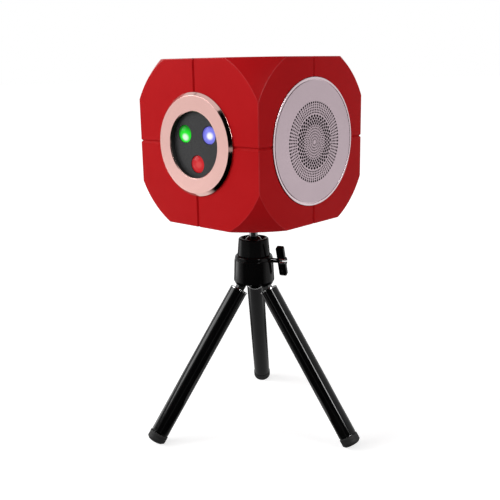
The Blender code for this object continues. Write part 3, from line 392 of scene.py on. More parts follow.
RED = surface("red_plastic", (0.430, 0.0050, 0.0070), (0.460, 0.0066, 0.0090), (0.38, 0.46),
              (2600.0, 0.000008), specular=0.06, tint=(1.0, 0.6, 0.6, 1.0))
# Lighter red on the rounded edges: a painted highlight along the fillets
RED_EDGE_HIGHLIGHT = surface("red_plastic_edge_painted_highlight", (0.46, 0.011, 0.015), (0.51, 0.016, 0.020), (0.28, 0.36),
                   (2600.0, 0.000006), specular=0.12)
ROSE_GOLD = surface("rose_gold_satin", (0.66, 0.400, 0.366), (0.70, 0.428, 0.392), (0.18, 0.24),
                    (3200.0, 0.000004), metallic=1.0)
RING_EDGE = surface("polished_edge", (0.62, 0.39, 0.355), (0.66, 0.42, 0.385), (0.08, 0.12),
                    (1500.0, 0.000002), metallic=1.0)
GRILLE = surface("grille_anodised", (0.42, 0.335, 0.368), (0.45, 0.36, 0.395), (0.34, 0.42),
                 (3200.0, 0.000006), metallic=0.85, specular=0.4)
GRILLE_DARK = surface("grille_backing", (0.004, 0.003, 0.0035), (0.008, 0.006, 0.007), (0.60, 0.75),
                      (1500.0, 0.000020), specular=0.05)
GRILLE_RIM = surface("grille_rim", (0.55, 0.45, 0.48), (0.60, 0.49, 0.52), (0.22, 0.30),
                     (1800.0, 0.000004), metallic=1.0)
WINDOW = surface("window_plastic", (0.034, 0.034, 0.035), (0.040, 0.040, 0.041), (0.24, 0.32),
                 (1800.0, 0.000004), specular=0.15)
BLACK_TONES = ((0.0015, 0.0015, 0.0016), (0.0028, 0.0028, 0.0029))
BLACK_GLOSS = surface("black_gloss", *BLACK_TONES, (0.08, 0.14), (700.0, 0.000006), specular=0.11)
HOUSING_BLACK = surface("housing_black", *BLACK_TONES, (0.08, 0.14), (700.0, 0.000006), specular=0.045)
BLACK_PAINT = surface("black_paint", *BLACK_TONES, (0.07, 0.11), (600.0, 0.000004), specular=0.20)
WORN_EDGE = surface("worn_edge", (0.34, 0.34, 0.34), (0.50, 0.50, 0.50), (0.14, 0.24),
                    (900.0, 0.000004), metallic=1.0)
BLACK_MATTE = surface("black_matte", (0.010, 0.010, 0.010), (0.016, 0.016, 0.016), (0.50, 0.65),
                      (1800.0, 0.000020), specular=0.3)
RUBBER = surface("rubber", (0.007, 0.007, 0.007), (0.013, 0.013, 0.013), (0.55, 0.72),
                 (1800.0, 0.000012), specular=0.3)
STEEL = surface("steel", (0.42, 0.42, 0.43), (0.56, 0.56, 0.57), (0.22, 0.34),
                (900.0, 0.000006), metallic=1.0)
DARK_STEEL = surface("dark_steel", (0.07, 0.07, 0.07), (0.12, 0.12, 0.12), (0.16, 0.26),
                     (900.0, 0.000010), metallic=1.0)
CHROME = surface("dark_chrome", (0.036, 0.036, 0.037), (0.050, 0.050, 0.051), (0.06, 0.10),
                 (900.0, 0.000001), metallic=1.0)
STUD_STEEL = surface("stud_steel", (0.18, 0.18, 0.185), (0.24, 0.24, 0.245), (0.16, 0.24),
                     (900.0, 0.000002), metallic=1.0)
BRASS = surface("brass", (0.60, 0.42, 0.15), (0.72, 0.52, 0.21), (0.24, 0.34),
                (1200.0, 0.000005), metallic=1.0)
BOARD = surface("board_green", (0.012, 0.10, 0.040), (0.020, 0.16, 0.060), (0.35, 0.45),
                (700.0, 0.000015), specular=0.4, mottle=160.0)
BATTERY = surface("battery_wrap", (0.030, 0.10, 0.30), (0.045, 0.14, 0.38), (0.25, 0.35),
                  (500.0, 0.000020), specular=0.4)
PAPER = surface("cone_paper", (0.020, 0.020, 0.020), (0.035, 0.035, 0.034), (0.70, 0.85),
                (900.0, 0.000060), specular=0.2)
ICON = surface("icon_white", (0.55, 0.55, 0.55), (0.62, 0.62, 0.62), (0.40, 0.50), (900.0, 0.000004))
RIM_BRIGHT = surface("bright_rim", (0.22, 0.22, 0.22), (0.30, 0.30, 0.30), (0.12, 0.20),
                     (900.0, 0.000003), metallic=1.0)

# Each lit lens: colours at its rim, round its hot spot and in it, and where that spot is; the hot spot is a
# painted highlight
LENS_GLOWS = {
    "green": ((0.008, 0.20, 0.012), (0.025, 0.80, 0.035), (0.80, 1.0, 0.80), (0.0016, -0.0018, 0.0)),
    "blue": ((0.10, 0.09, 0.50), (0.22, 0.23, 0.84), (1.0, 1.0, 1.0), (0.0020, -0.0002, 0.0)),
    "red": ((0.36, 0.010, 0.014), (0.58, 0.026, 0.032), (0.66, 0.070, 0.070), (0.0022, 0.0, 0.0)),
}

# Solids inside that keep their own mesh
NODE_FINISHES = (
    (BLACK_MATTE, ("laser_carrier", "grating_wheel_green", "grating_wheel_blue", "grating_wheel_red",
                   "driver_frame_right", "driver_frame_left", "ball_seat")),
    (BRASS, ("laser_module_green", "laser_module_blue", "laser_module_red", "grating_pinion")),
    (STEEL, ("grating_motor", "hinge_pin_1", "hinge_pin_2", "hinge_pin_3")),
    (PAPER, ("driver_cone_right", "driver_cone_left")),
    (BOARD, ("main_board",)),
    (BATTERY, ("battery",)),
)


# Shapes

def filleted(corners):
    """Round the corners of a closed outline; each corner is (x, y, radius)."""
    outline = []
    for i, (x, y, radius) in enumerate(corners):
        here = Vector((x, y))
        if radius == 0.0:
            outline.append(here)
            continue
        back = Vector(corners[i - 1][:2]) - here
        ahead = Vector(corners[(i + 1) % len(corners)][:2]) - here
        half = back.angle(ahead) / 2
        run = min(radius / math.tan(half), 0.48 * back.length, 0.48 * ahead.length)
        centre = here + (back.normalized() + ahead.normalized()).normalized() * run / math.cos(half)
        start = here + back.normalized() * run - centre
        end = here + ahead.normalized() * run - centre
        for step in range(FILLET_STEPS + 1):
            spoke = start.lerp(end, step / FILLET_STEPS)
            outline.append(centre + spoke.normalized() * start.length)
    return outline


def lathe(outline, segments=ROUND):
    """Turn a closed outline of (radius, height) points about Z."""
    bm = bmesh.new()
    rings = []
    for radius, height in outline:
        if radius < MERGE:
            rings.append([bm.verts.new((0.0, 0.0, height))])
            continue
        angles = [2 * math.pi * i / segments for i in range(segments)]
        rings.append([
            bm.verts.new((radius * math.cos(a), radius * math.sin(a), height)) for a in angles
        ])
    for low, high in zip(rings, rings[1:] + rings[:1]):
        if len(low) == 1 and len(high) == 1:
            continue
        for i in range(segments):
            j = (i + 1) % segments
            corners = [low[i % len(low)], low[j % len(low)], high[j % len(high)], high[i % len(high)]]
            bm.faces.new(list(dict.fromkeys(corners)))
    bmesh.ops.recalc_face_normals(bm, faces=bm.faces)
    return bm


def turned(*corners, segments=ROUND):
    """A lathe with rounded corners."""
    return lathe(filleted(corners), segments)


def prism(outline, low, high):
    """Extrude a closed outline of (x, y) points from one height to another."""
    bm = bmesh.new()
    bottom = [bm.verts.new((x, y, low)) for x, y in outline]
    top = [bm.verts.new((x, y, high)) for x, y in outline]
    bm.faces.new(bottom[::-1])
    bm.faces.new(top)
    for i in range(len(outline)):
        j = (i + 1) % len(outline)
        bm.faces.new((bottom[i], bottom[j], top[j], top[i]))
    bmesh.ops.recalc_face_normals(bm, faces=bm.faces)
    return bm


def rectangle(half_width, half_height, radius=0.0):
    return filleted([
        (-half_width, -half_height, radius),
        (half_width, -half_height, radius),
        (half_width, half_height, radius),
        (-half_width, half_height, radius),
    ])


def cylinder(radius, low, high, segments=THIN):
    return lathe([(0.0, low), (radius, low), (radius, high), (0.0, high)], segments)


def plug(radius, low, high, low_round, high_round, segments=ROUND):
    """A round bar with rounded rims."""
    return turned((0.0, low, 0.0), (radius, low, low_round), (radius, high, high_round), (0.0, high, 0.0),
                  segments=segments)


def flared_hole(radius, flare, low, start, end):
    """Cutter for a round hole that widens by the flare between two heights."""
    wide = radius + flare
    return lathe([
        (0.0, low - WALL), (radius, low - WALL), (radius, start), (wide, end), (wide, WALL), (0.0, WALL),
    ], MEDIUM)


def circle_points(radius, height, first, last, steps):
    """Points on a circle round (0, height), at angles counted from straight up."""
    angles = [first + (last - first) * step / steps for step in range(steps + 1)]
    return [(radius * math.sin(angle), height + radius * math.cos(angle)) for angle in angles]


def moved(bm, matrix):
    bmesh.ops.transform(bm, matrix=matrix, verts=bm.verts)
    return bm


def mesh_from(name, bm):
    mesh = bpy.data.meshes.new(name)
    bm.to_mesh(mesh)
    bm.free()
    return mesh


def add_object(name, data):
    made = bpy.data.objects.new(name, data)
    bpy.context.scene.collection.objects.link(made)
    return made


def paint(bm, number, chosen=lambda centre: True):
    """Give another of the piece's finishes to the faces whose middle is chosen."""
    for face in bm.faces:
        if chosen(face.calc_center_median()):
            face.material_index = number


def together(*parts):
    """Several separate closed solids as one mesh."""
    whole = bmesh.new()
    for part in parts:
        mesh = mesh_from("part", part)
        whole.from_mesh(mesh)
        bpy.data.meshes.remove(mesh)
    return whole


def working_object(bm):
    mesh = mesh_from("working", bm)
    for _ in range(MATERIAL_NUMBERS):
        mesh.materials.append(None)
    return add_object("working", mesh)


def evaluated(source):
    """Mesh of a flat curve, or of an object with its modifiers applied."""
    result = bmesh.new()
    result.from_mesh(source.evaluated_get(bpy.context.evaluated_depsgraph_get()).to_mesh())
    return result


def combined(body, tool, operation):
    """Boolean of two closed solids; both are used up."""
    target = working_object(body)
    cutter = working_object(tool)
    modifier = target.modifiers.new("shape", "BOOLEAN")
    modifier.operation = operation
    modifier.solver = "EXACT"
    modifier.object = cutter
    result = evaluated(target)
    for used in (target, cutter):
        mesh = used.data
        bpy.data.objects.remove(used, do_unlink=True)
        bpy.data.meshes.remove(mesh)
    bmesh.ops.remove_doubles(result, verts=result.verts, dist=MERGE)
    return result


def cut(body, *tools):
    return combined(body, together(*tools), "DIFFERENCE")


def dressed(name, bm, finishes, body, place, replaced=(), bevel=0.0):
    """Put a finished piece in its place on its body, instead of the solids it stands for."""
    mesh = mesh_from(name, moved(bm, place))
    for material in finishes:
        mesh.materials.append(material)
    mesh.shade_smooth()
    mesh.set_sharp_from_angle(angle=SHARP_ANGLE)
    made = add_object(name, mesh)
    if bevel:
        modifier = made.modifiers.new("edges", "BEVEL")
        modifier.width = bevel
        modifier.segments = 2
        modifier.limit_method = "ANGLE"
        modifier.angle_limit = SHARP_ANGLE
    weighted = made.modifiers.new("shading", "WEIGHTED_NORMAL")
    weighted.keep_sharp = True
    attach(made, body)
    if replaced:
        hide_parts(*replaced)
    return made


# Cube body

def slerp(first, second, share):
    angle = first.angle(second)
    return (first * math.sin((1 - share) * angle) + second * math.sin(share * angle)) / math.sin(angle)


def rounded_body(half, sphere, fillet, steps, rounding):
    """A cube cut back by a sphere with all its edges rounded, as one closed skin.

    The skin is the shrunken solid grown by the fillet radius: flat faces, corner patches, and
    strips of fillet along the arcs and the straight edges between them.
    """
    inner = half - fillet
    ball = sphere - fillet
    circle = math.sqrt(ball ** 2 - inner ** 2)
    corner = math.sqrt(ball ** 2 - 2 * inner ** 2)
    first = math.atan2(corner, inner)
    sweep = math.pi / 2 - 2 * first
    polygons = []

    def arc_point(step):
        angle = first + sweep * step / steps
        return Vector((circle * math.cos(angle), circle * math.sin(angle), inner))

    def patch_row(row):
        if row == steps:
            return [Vector((inner, inner, corner)) * (1 + fillet / ball)]
        angle = math.pi / 2 - first - sweep * row / steps
        across, height = circle * math.cos(angle), circle * math.sin(angle)
        start = math.atan2(across, inner)
        radius = math.hypot(inner, across)
        points = []
        for step in range(steps - row + 1):
            turn = start + (math.pi / 2 - 2 * start) * step / (steps - row)
            points.append(Vector((radius * math.cos(turn), radius * math.sin(turn), height)))
        return [point * (1 + fillet / ball) for point in points]

    def triangle_rows(rows, rounded):
        for low, high in zip(rows, rows[1:]):
            for i in range(len(low) - 1):
                polygons.append(([low[i], low[i + 1], high[i]], rounded))
                if i + 1 < len(high):
                    polygons.append(([low[i + 1], high[i + 1], high[i]], rounded))

    def grid(rows):
        for low, high in zip(rows, rows[1:]):
            for i in range(len(low) - 1):
                polygons.append(([low[i], low[i + 1], high[i + 1], high[i]], 1))

    triangle_rows([patch_row(row) for row in range(steps + 1)], 0)
    shares = [i / rounding for i in range(rounding + 1)]
    cycled = []
    for axes in ((0, 1, 2), (2, 0, 1), (1, 2, 0)):
        kept, polygons = polygons, []
        arc = [arc_point(step) for step in range(steps + 1)]
        grid([[p + slerp(AXIS_Z, p.normalized(), share) * fillet for p in arc] for share in shares])
        edge = [Vector((inner, 0.0, inner)), Vector((inner, corner, inner))]
        grid([[p + slerp(AXIS_X, AXIS_Z, share) * fillet for p in edge] for share in shares])
        tip = edge[1]
        outward = tip.normalized()
        rows = []
        for row in range(rounding + 1):
            left = slerp(AXIS_X, outward, row / rounding)
            right = slerp(AXIS_Z, outward, row / rounding)
            count = rounding - row
            normals = [outward] if count == 0 else [
                slerp(left, right, i / count) for i in range(count + 1)
            ]
            rows.append([tip + normal * fillet for normal in normals])
        triangle_rows(rows, 1)
        lift = AXIS_Z * fillet
        middle_edge = [Vector((0.0, 0.0, inner)), Vector((inner, 0.0, inner))]
        quarter = [*middle_edge, *arc, Vector((0.0, inner, inner))]
        polygons.append(([point + lift for point in quarter], 0))
        for polygon, rounded in polygons:
            cycled.append(([Vector([point[i] for i in axes]) for point in polygon], rounded))
        polygons = kept
    polygons += cycled

    bm = bmesh.new()
    found = {}
    for signs in [(x, y, z) for x in (1, -1) for y in (1, -1) for z in (1, -1)]:
        for polygon, rounded in polygons:
            corners = []
            for point in polygon:
                mirrored = Vector([value * sign for value, sign in zip(point, signs)])
                key = tuple(round(value * 1e8) + 0 for value in mirrored)
                if key not in found:
                    found[key] = bm.verts.new(mirrored)
                corners.append(found[key])
            corners = list(dict.fromkeys(corners))
            if len(corners) > 2:
                bm.faces.new(corners).material_index = rounded
    bmesh.ops.recalc_face_normals(bm, faces=bm.faces)
    return bm


def groove_ring(half):
    """A square band with a V profile that cuts the groove round the plane z = 0."""
    bm = bmesh.new()
    profile = list(GROOVE_PROFILE) + [(-width, depth) for width, depth in GROOVE_PROFILE[-2::-1]]
    loops = []
    for height, depth in profile:
        reach = half + depth
        square = ((-reach, -reach), (reach, -reach), (reach, reach), (-reach, reach))
        loops.append([bm.verts.new((x, y, height)) for x, y in square])
    for low, high in zip(loops, loops[1:] + loops[:1]):
        for i in range(4):
            j = (i + 1) % 4
            bm.faces.new((low[i], low[j], high[j], high[i]))
    bmesh.ops.recalc_face_normals(bm, faces=bm.faces)
    return bm


def on_face(bm, direction):
    return moved(bm, facing(direction, direction * HALF))


def stepped_hole(recess_radius, recess_depth, opening):
    """Cutter for a round recess with a smaller opening through the wall."""
    reach = 2 * WALL
    return lathe([
        (0.0, -reach), (opening, -reach), (opening, -recess_depth), (recess_radius, -recess_depth),
        (recess_radius, reach), (0.0, reach),
    ])


def build_body():
    """The hollow shell with its grooves, openings and screw towers, parted at the middle groove."""
    body = rounded_body(HALF, CORNER_SPHERE, EDGE_ROUND, ARC_STEPS, EDGE_STEPS)
    for turn in (Matrix(), rotation(90.0, "X"), rotation(90.0, "Y")):
        body = cut(body, moved(groove_ring(HALF), turn))
    grille_radius = extent("grille_right", facing(RIGHT, CUBE_CENTRE))[2] + GAP
    body = cut(
        body,
        on_face(cylinder(FRONT_BORE, -2 * WALL, 2 * WALL, ROUND), FRONT),
        on_face(stepped_hole(grille_radius, GRILLE_RECESS, DRIVER_OPENING), RIGHT),
        on_face(stepped_hole(grille_radius, GRILLE_RECESS, DRIVER_OPENING), LEFT),
        on_face(stepped_hole(PANEL_RADIUS + GAP, PANEL_RECESS, PANEL_OPENING), BACK),
    )
    towers = four_ways(TOWER_HALF_SPACING, TOWER_HALF_SPACING)
    cavity = rounded_body(HALF - WALL, CORNER_SPHERE - WALL, EDGE_ROUND, ARC_STEPS // 3, 1)
    posts = [moved(cylinder(TOWER_RADIUS, -HALF, HALF), at(x, y)) for x, y in towers]
    posts.append(cylinder(BOSS_RADIUS, -HALF, INSERT_LENGTH - HALF + WALL / 2))
    body = cut(body, cut(cavity, *posts))
    lower_holes = [cylinder(INSERT_RADIUS + GAP, -HALF - WALL, INSERT_LENGTH - HALF + WALL)]
    upper_holes = []
    head, shank = SCREW_HEAD + GAP, SCREW_SHANK + GAP
    foot, ledge = -HALF - WALL, GAP + SCREW_HEAD_DEPTH + GAP - HALF
    for x, y in towers:
        bore = [(0.0, foot), (head, foot), (head, ledge), (shank, ledge), (shank, WALL), (0.0, WALL)]
        lower_holes.append(moved(lathe(bore, THIN), at(x, y)))
        upper_holes.append(moved(cylinder(shank, -WALL, SCREW_BITE + WALL), at(x, y)))
    outline = rectangle(HALF + WALL, HALF + WALL)
    upper = cut(cut(body.copy(), prism(outline, -HALF - WALL, SEAM / 2)), *upper_holes)
    lower = cut(cut(body, prism(outline, -SEAM / 2, HALF + WALL)), *lower_holes)
    place = Matrix.Translation(CUBE_CENTRE)
    for name, half in (("upper", upper), ("lower", lower)):
        # The rounded edges take the lighter red, a painted highlight
        dressed(f"shell_{name}", half, [RED, RED_EDGE_HIGHLIGHT], "speaker", place, [f"{name}_shell"])


def build_case_screws():
    """Pan heads with a cross recess, seen from below."""
    head = GAP - HALF
    for number, (x, y) in enumerate(four_ways(TOWER_HALF_SPACING, TOWER_HALF_SPACING), start=1):
        screw = turned(
            (0.0, head, 0.0),
            (SCREW_HEAD, head, SCREW_HEAD_DEPTH / 3),
            (SCREW_HEAD, head + SCREW_HEAD_DEPTH, 0.0),
            (SCREW_SHANK, head + SCREW_HEAD_DEPTH, 0.0),
            (SCREW_SHANK, SCREW_BITE, SCREW_SHANK / 2),
            (0.0, SCREW_BITE, 0.0),
            segments=THIN,
        )
        long, short = SCREW_HEAD * CROSS_LENGTH, SCREW_HEAD * CROSS_WIDTH
        for half_width, half_height in ((long, short), (short, long)):
            slot = prism(rectangle(half_width, half_height), head - GAP, head + SCREW_HEAD_DEPTH / 2)
            screw = cut(screw, slot)
        place = Matrix.Translation(CUBE_CENTRE) @ at(x, y)
        dressed(f"screw_{number}", screw, [STEEL], "speaker", place, [f"case_screw_{number}"])


# Laser face

def build_bezel(place):
    """Satin ring with a polished slanting edge and a dark bore."""
    back, front, base = extent("front_bezel_ring", place)
    bore_floor = GAP - WINDOW_SUNK
    bore_top = front - RING_CHAMFER
    ring = turned(
        (RING_BORE, bore_floor, 0.0),
        (RING_BORE, bore_top, 0.00008),
        (RING_BORE + RING_CHAMFER, front, 0.0001),
        (RING_FRONT, front, 0.0002),
        (base, RING_STEP, 0.0002),
        (base, GAP, 0.0001),
        (FRONT_BORE - GAP, GAP, 0.0),
        (FRONT_BORE - GAP, back, 0.0),
        (SPIGOT_BORE, back, 0.0),
        (SPIGOT_BORE, bore_floor, 0.0),
        segments=2 * ROUND,
    )
    slack = 0.0001
    paint(ring, 1, lambda centre: centre.xy.length > RING_FRONT + slack)
    paint(ring, 2, lambda centre: centre.xy.length < RING_BORE + slack and centre.z < bore_top)
    dressed("bezel", ring, [ROSE_GOLD, RING_EDGE, BLACK_MATTE], "speaker", place,
            ["front_bezel_ring"])


def build_window(place, lens_radius):
    low, high, radius = extent("laser_window", place)
    holes = []
    for colour in LENS_GLOWS:
        hole = flared_hole(lens_radius + GAP, 1.5 * GAP, low, high - GAP, high + GAP)
        holes.append(moved(hole, shift_to(f"lens_{colour}", place)))
    window = cut(plug(radius, low, high, 0.0, 0.0001), *holes)
    dressed("window", window, [WINDOW], "speaker", place, ["laser_window"])


def build_lenses(place, lens_radius):
    """Glass domes on a short rod with a flange behind the window."""
    flange_front = -WINDOW_SUNK - WINDOW_THICKNESS - GAP
    flange_back = flange_front - LENS_FLANGE_DEPTH
    dome = (lens_radius ** 2 + LENS_CROWN ** 2) / (2 * LENS_CROWN)
    for colour, (rim, body, painted_highlight, highlight_spot) in LENS_GLOWS.items():
        node = f"lens_{colour}"
        back, front, _ = extent(node, place)
        flange = own_radius(node, FRONT)
        outline = [
            (0.0, back), (lens_radius, back), (lens_radius, flange_back), (flange, flange_back),
            (flange, flange_front), (lens_radius, flange_front),
            *circle_points(dome, front - dome, math.asin(lens_radius / dome), 0.0, DOME_STEPS),
        ]
        seat = place @ shift_to(node, place)
        # The lens glows with its own light; its hot spot off the middle is a painted highlight
        glow = glowing_lens(f"{node}_lit", rim, body, painted_highlight, seat @ Vector(highlight_spot))
        dressed(f"glass_{colour}", lathe(outline, MEDIUM), [glow], "speaker", seat, [node])


# Grilles

def ring_of_holes(radius, count, turn, along, across):
    """Outlines of equal oval holes on a circle; along and across are their half sizes."""
    holes = []
    for i in range(count):
        angle = 2 * math.pi * (i + turn) / count
        spoke = Vector((math.cos(angle), math.sin(angle)))
        side = Vector((-spoke.y, spoke.x))
        outline = []
        for corner in range(HOLE_CORNERS):
            swing = 2 * math.pi * corner / HOLE_CORNERS
            outline.append(spoke * (radius + along * math.cos(swing)) + side * across * math.sin(swing))
        holes.append(outline)
    return holes


def grille_holes():
    """Radial rows of small round holes outside, and staggered rings of ovals that narrow inwards."""
    holes = []
    for radius in OUTER_ROWS:
        size = LAST_ROW_HOLE if radius == OUTER_ROWS[-1] else OUTER_HOLE
        holes += ring_of_holes(radius, OUTER_COUNT, 0.5, size, size)
    for row, radius in enumerate(INNER_ROWS):
        pitch = radius * 2 * math.pi / INNER_COUNT
        if radius > CORE_RADIUS:
            along, across = INNER_HOLE, min(WIDEST_HOLE, INNER_HOLE_SHARE * pitch)
        else:
            along, across = CORE_HOLE, CORE_HOLE_SHARE * pitch
        holes += ring_of_holes(radius, INNER_COUNT, 0.5 * (row % 2), along, across)
    return holes


def perforated_plate(radius, holes, low, high):
    """A flat disc with holes, filled and extruded as a flat curve."""
    curve = bpy.data.curves.new("plate", "CURVE")
    curve.dimensions = "2D"
    curve.fill_mode = "BOTH"
    curve.extrude = (high - low) / 2
    angles = [2 * math.pi * i / ROUND for i in range(ROUND)]
    edge = [(radius * math.cos(angle), radius * math.sin(angle)) for angle in angles]
    for points in [edge] + holes:
        spline = curve.splines.new("POLY")
        spline.points.add(len(points) - 1)
        for point, (x, y) in zip(spline.points, points):
            point.co = (x, y, 0.0, 1.0)
        spline.use_cyclic_u = True
    holder = add_object("plate", curve)
    bm = evaluated(holder)
    bpy.data.objects.remove(holder, do_unlink=True)
    bpy.data.curves.remove(curve)
    bmesh.ops.remove_doubles(bm, verts=bm.verts, dist=MERGE)
    bmesh.ops.recalc_face_normals(bm, faces=bm.faces)
    return moved(bm, at(0.0, 0.0, (low + high) / 2))


def build_grille(side, direction):
    """Perforated plate over a dark cloth, in a bright rim with a fine groove."""
    place = face_place(direction)
    back, front, radius = extent(f"grille_{side}", place)
    field = RIM_GROOVE - RIM_GROOVE_WIDTH
    lip = RIM_GROOVE + RIM_GROOVE_WIDTH / 2
    plate = perforated_plate(field, grille_holes(), front - PLATE_THICKNESS, front)
    cloth = cylinder(field - 2 * GAP, back, front - CLOTH_SUNK, ROUND)
    rim = turned(
        (field - GAP, back, 0.0),
        (radius, back, 0.0),
        (radius, front, 0.0003),
        (lip, front, 0.0001),
        (lip, front - RIM_GROOVE_DEPTH, 0.0),
        (field - GAP, front - RIM_GROOVE_DEPTH, 0.0),
        segments=2 * ROUND,
    )
    paint(rim, 1)
    paint(cloth, 2)
    dressed(f"perforated_{side}", together(plate, rim, cloth), [GRILLE, GRILLE_RIM, GRILLE_DARK], "speaker",
            place, [f"grille_{side}"])


# Control panel

def button_icon(name, low, high):
    """Generic marks: a bar in a ring, a square, plus, minus and a play triangle."""
    size = BUTTON_RADIUS * 0.42
    bar = size * 0.16

    def block(half_width, half_height, x=0.0):
        return moved(prism(rectangle(half_width, half_height), low, high), at(x, 0.0))

    if name == "button_power":
        inner, outer = size * 0.72, size * 0.98
        ring = lathe([(inner, low), (outer, low), (outer, high), (inner, high)], THIN)
        return together(ring, block(bar, size * 0.36))
    if name == "button_volume_up":
        arm = size * 0.60
        return together(block(bar, size), block(size * 0.40, bar, -arm), block(size * 0.40, bar, arm))
    if name == "button_volume_down":
        return block(size, bar)
    if name == "button_play":
        left, right, rise = -size * 0.55, size * 0.85, size * 0.8
        return prism([(left, -rise), (right, 0.0), (left, rise)], low, high)
    return block(size * 0.62, size * 0.62)


def build_buttons(place):
    """Dished caps on a stem with a flange behind the panel, each with a raised mark."""
    front = BUTTON_PROUD + PANEL_PROUD
    flange_front = PANEL_PROUD - PANEL_THICKNESS - GAP
    flange_back = flange_front - BUTTON_FLANGE
    for name in BUTTONS:
        back = extent(name, place)[0]
        flange = own_radius(name, BACK)
        cap = turned(
            (0.0, back, 0.0),
            (BUTTON_STEM, back, 0.0002),
            (BUTTON_STEM, flange_back, 0.0),
            (flange, flange_back, 0.0),
            (flange, flange_front, 0.0),
            (BUTTON_RADIUS, flange_front, 0.0),
            (BUTTON_RADIUS, front, 0.0004),
            (BUTTON_RADIUS * 0.80, front, 0.0002),
            (BUTTON_RADIUS * 0.66, front - BUTTON_DISH, 0.0002),
            (0.0, front - BUTTON_DISH, 0.0),
            segments=MEDIUM,
        )
        icon = button_icon(name, front - ICON_SUNK - BUTTON_DISH, front - ICON_SUNK)
        seat = place @ shift_to(name, place)
        dressed(f"cap_{name[7:]}", cap, [BLACK_GLOSS], name, seat, [name])
        dressed(f"icon_{name[7:]}", icon, [ICON], name, seat)


def build_panel():
    """Round panel on the back with its buttons, inlet and a fine pressed rim line."""
    place = face_place(BACK)
    back, front, radius = extent("rear_panel", place)
    plate_back = PANEL_PROUD - PANEL_THICKNESS
    panel = turned(
        (0.0, plate_back, 0.0),
        (PANEL_OPENING - GAP, plate_back, 0.0),
        (PANEL_OPENING - GAP, GAP - PANEL_RECESS, 0.0),
        (radius, GAP - PANEL_RECESS, 0.0),
        (radius, front, 0.0003),
        (radius - RIM_LINE + RIM_LINE_HALF_WIDTH, front, 0.0001),
        (radius - RIM_LINE, front - RIM_LINE_DEPTH, 0.0),
        (radius - RIM_LINE - RIM_LINE_HALF_WIDTH, front, 0.0001),
        (0.0, front, 0.0),
        segments=2 * ROUND,
    )
    cutters = []
    for name in BUTTONS:
        hole = flared_hole(BUTTON_RADIUS + GAP, GAP, plate_back, front - 0.0002, front + 0.0001)
        cutters.append(moved(hole, shift_to(name, place)))
    port_low, port_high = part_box("charging_port")
    half_width = (port_high.x - port_low.x) / 2
    half_height = (port_high.z - port_low.z) / 2
    slot = rectangle(half_width + GAP, half_height + GAP, half_height)
    cutters.append(moved(prism(slot, -2 * WALL, WALL), shift_to("charging_port", place)))
    posts = [
        moved(cylinder(PANEL_POST, back, plate_back + GAP), at(x, y))
        for x, y in four_ways(PANEL_POST_X, PANEL_POST_Y)
    ]
    dressed("panel", together(cut(panel, *cutters), *posts), [BLACK_MATTE], "speaker", place,
            ["rear_panel"])
    build_port(place, half_width, half_height)
    build_buttons(place)


def build_port(place, half_width, half_height):
    """Oblong metal inlet with the contact tongue inside."""
    back, front, _ = extent("charging_port", place)
    outer = rectangle(half_width, half_height, half_height)
    inner = rectangle(half_width - PORT_WALL, half_height - PORT_WALL, half_height - PORT_WALL)
    shell = cut(prism(outer, back, front), prism(inner, front - PORT_CAVITY, front + WALL))
    plate = rectangle(half_width * CONTACT_WIDTH, half_height * CONTACT_THICKNESS, 0.0001)
    tongue = prism(plate, front - PORT_CAVITY, front - CONTACT_SUNK)
    paint(tongue, 1)
    seat = place @ shift_to("charging_port", place)
    dressed("inlet", together(shell, tongue), [STEEL, BLACK_MATTE], "speaker", seat,
            ["charging_port"])


def build_insert():
    """Threaded brass socket in the floor."""
    place = Matrix.Translation(CUBE_CENTRE)
    low, high, radius = extent("tripod_insert", place)
    outline = [(INSERT_BORE, low + SOCKET_CHAMFER), (INSERT_BORE + SOCKET_CHAMFER, low)]
    outline += [(radius, low), (radius, high), (INSERT_BORE, high)]
    height = high - STUD_PITCH / 2
    while height > low + STUD_PITCH:
        outline += [(INSERT_BORE + INSERT_THREAD_DEPTH, height), (INSERT_BORE, height - STUD_PITCH / 2)]
        height -= STUD_PITCH
    dressed("socket", lathe(outline, THIN), [BRASS], "speaker", place, ["tripod_insert"])


# Tripod head

def build_stud():
    """Bright ball, neck, plate and thread turned in one, with the rubber pad on the plate."""
    place = Matrix.Translation(BALL_CENTRE)
    low, high, plate = extent("ball_stud", place)
    pad_low, pad_high, pad = extent("stud_pad", place)
    ball = -low
    plate_top = pad_low - GAP
    plate_foot = plate_top - STUD_PLATE
    sphere = circle_points(ball, 0.0, math.pi, math.asin(STUD_NECK / ball), BALL_STEPS)
    outline = [(0.0, low), *sphere[1:]]
    outline += filleted([
        (STUD_NECK, plate_foot - 0.002, 0.0),
        (STUD_NECK, plate_foot, 0.0005),
        (plate, plate_foot, 0.0004),
        (plate, plate_top, 0.0004),
        (STUD_THREAD, plate_top, 0.0),
        (STUD_THREAD, pad_low, 0.0),
    ])
    height = pad_high + GAP
    while height + STUD_PITCH < high:
        root = (STUD_THREAD - STUD_THREAD_DEPTH, height + STUD_PITCH / 2)
        height += STUD_PITCH
        outline += [root, (STUD_THREAD, height)]
    outline += [(STUD_THREAD - 0.0005, high), (0.0, high)]
    stud = lathe(outline, MEDIUM)
    paint(stud, 1, lambda centre: centre.z > ball)
    dressed("stud", stud, [CHROME, STUD_STEEL], "ball_stud", place, ["ball_stud"])
    bore = STUD_THREAD + GAP
    ring = turned(
        (bore, pad_low, 0.0),
        (pad, pad_low, 0.0004),
        (pad, pad_high, 0.0004),
        (bore, pad_high, 0.0),
    )
    dressed("pad", ring, [RUBBER], "ball_stud", place, ["stud_pad"])


def head_place():
    """Axes of the tripod's head: origin on its upright axis, level with the leg hinges."""
    hinge = joints["leg_1_fold"]["pos_m"]
    return Matrix.Translation((BALL_CENTRE.x, BALL_CENTRE.y, hinge[2]))


def screw_axes():
    joint = joints["wing_screw_turn"]
    return facing(Vector(joint["axis"]).normalized(), Vector(joint["pos_m"]))


def screw_clearance(place):
    """Clearance hole for the wing screw, in the head's axes."""
    return moved(cylinder(CLEARANCE_RADIUS, 0.0, 0.03), place.inverted() @ screw_axes())


